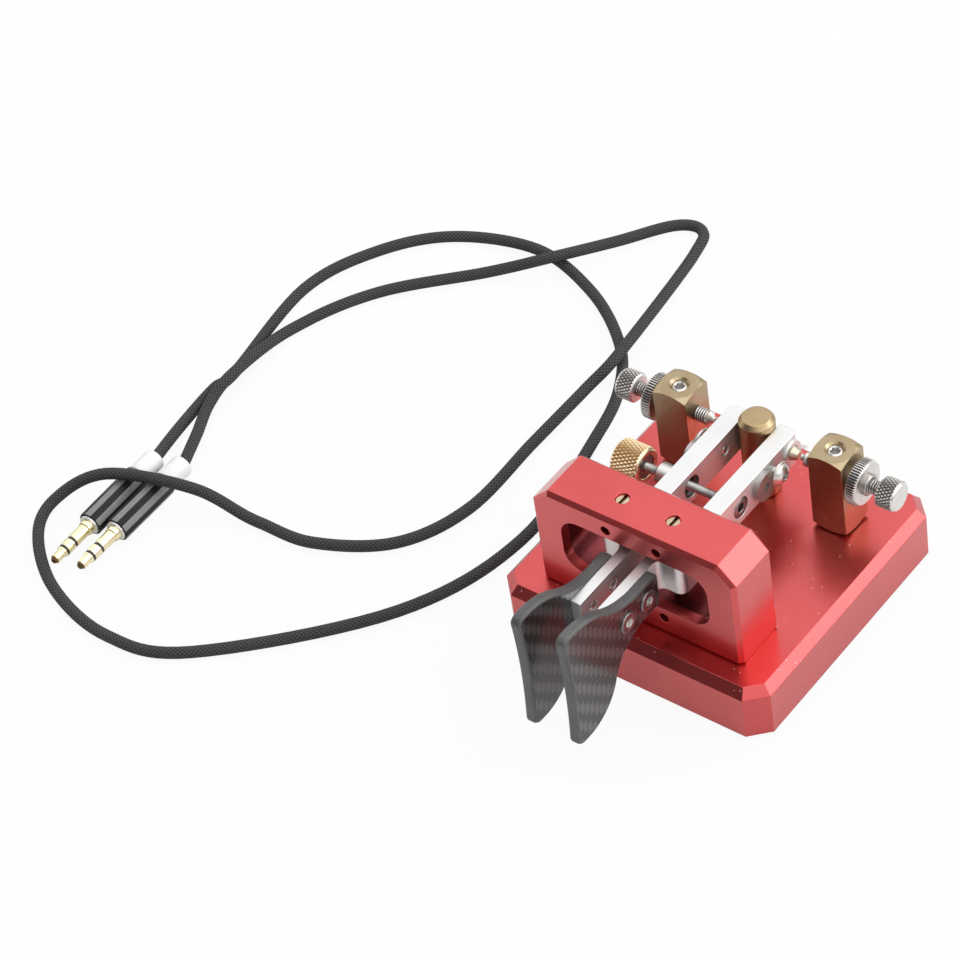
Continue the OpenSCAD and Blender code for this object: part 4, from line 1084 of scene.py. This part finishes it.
# For the room, softbox and window: from which height or facing each begins to where it is full, and
# how bright it is at both.
ROOM_EDGE = (0.0, 0.6)
ROOM_BRIGHT = (0.6, 1.0)
SOFTBOX_WAY = (0.47, 0.24, 0.85)
SOFTBOX_EDGE = (0.12, 0.8)
SOFTBOX_BRIGHT = (0.13, 1.8)
WINDOW_WAY = (-0.95, 0.1, 0.3)
WINDOW_EDGE = (0.7, 0.95)
WINDOW_BRIGHT = (0.0, 1.2)
LAMP_PLACE = (0.8, 0.57, 0.5)
LAMP_AIM = (0, 0, 0.02)
LAMP_SIZE = 0.7
LAMP_POWER = 2.6


def pale_floor():
    material = bpy.data.materials.new("pale floor")
    material.use_nodes = True
    tree = material.node_tree
    tree.nodes.clear()
    lit = add_node(tree, "BsdfDiffuse", {"Color": opaque(FLOOR_GREY)})
    white = add_node(tree, "Emission", {"Color": opaque(WHITE), "Strength": 1.0})
    path = add_node(tree, "LightPath").outputs
    mirrored = reckon(tree, "MAXIMUM", path["Is Glossy Ray"], path["Is Transmission Ray"])
    seen = reckon(tree, "MULTIPLY", path["Is Camera Ray"], FLOOR_SEEN)
    share = reckon(tree, "ADD", seen, reckon(tree, "MULTIPLY", mirrored, FLOOR_MIRRORED))
    mixed = add_node(tree, "MixShader", {0: share, 1: lit.outputs[0], 2: white.outputs[0]})
    add_node(tree, "OutputMaterial", {"Surface": mixed.outputs[0]})
    bm = bmesh.new()
    bmesh.ops.create_grid(bm, x_segments=1, y_segments=1, size=FLOOR_HALF)
    bmesh.ops.translate(bm, vec=(0, 0, -FLOOR_DROP), verts=bm.verts)
    mesh = bpy.data.meshes.new("floor")
    bm.to_mesh(mesh)
    bm.free()
    mesh.materials.append(material)
    floor = bpy.data.objects.new("floor", mesh)
    scene.collection.objects.link(floor)


def studio_world():
    world = bpy.data.worlds.new("studio")
    scene.world = world
    world.use_nodes = True
    tree = world.node_tree
    tree.nodes.clear()
    way = add_node(tree, "TexCoord").outputs["Generated"]

    def facing(aim, edge):
        toward = add_node(tree, "VectorMath", {0: way, 1: aim}, operation="DOT_PRODUCT").outputs["Value"]
        return step_up(tree, toward, *edge)

    height = step_up(tree, add_node(tree, "SeparateXYZ", {0: way}).outputs[2], *ROOM_EDGE)
    softbox = between(tree, facing(SOFTBOX_WAY, SOFTBOX_EDGE), *SOFTBOX_BRIGHT)
    window = between(tree, facing(WINDOW_WAY, WINDOW_EDGE), *WINDOW_BRIGHT)
    above = reckon(tree, "MULTIPLY", between(tree, height, *ROOM_BRIGHT), softbox)
    bright = reckon(tree, "ADD", above, window)
    room = add_node(tree, "Background", {"Color": opaque(WHITE), "Strength": bright})
    white = add_node(tree, "Background", {"Color": opaque(WHITE), "Strength": 1.0})
    seen = add_node(tree, "LightPath").outputs["Is Camera Ray"]
    mixed = add_node(tree, "MixShader", {0: seen, 1: room.outputs[0], 2: white.outputs[0]})
    add_node(tree, "OutputWorld", {"Surface": mixed.outputs[0]})


def side_softbox():
    lamp = bpy.data.lights.new("side softbox", "AREA")
    lamp.shape = "DISK"
    lamp.size = LAMP_SIZE
    lamp.energy = LAMP_POWER
    holder = bpy.data.objects.new("side softbox", lamp)
    scene.collection.objects.link(holder)
    holder.location = LAMP_PLACE
    holder.rotation_euler = (Vector(LAMP_AIM) - Vector(LAMP_PLACE)).to_track_quat("-Z", "Y").to_euler()


photo_camera()
plugs()
patch_cord()
body_castings()
levers()
paddles()
paddle_screw_heads()
posts()
stop_post()
contact_screws()
clamp_screws()
contact_knobs()
lock_nuts()
tension_screw()
tension_nut()
trim_screws()
pivot_screws()
carried_finishes()
pale_floor()
studio_world()
side_softbox()
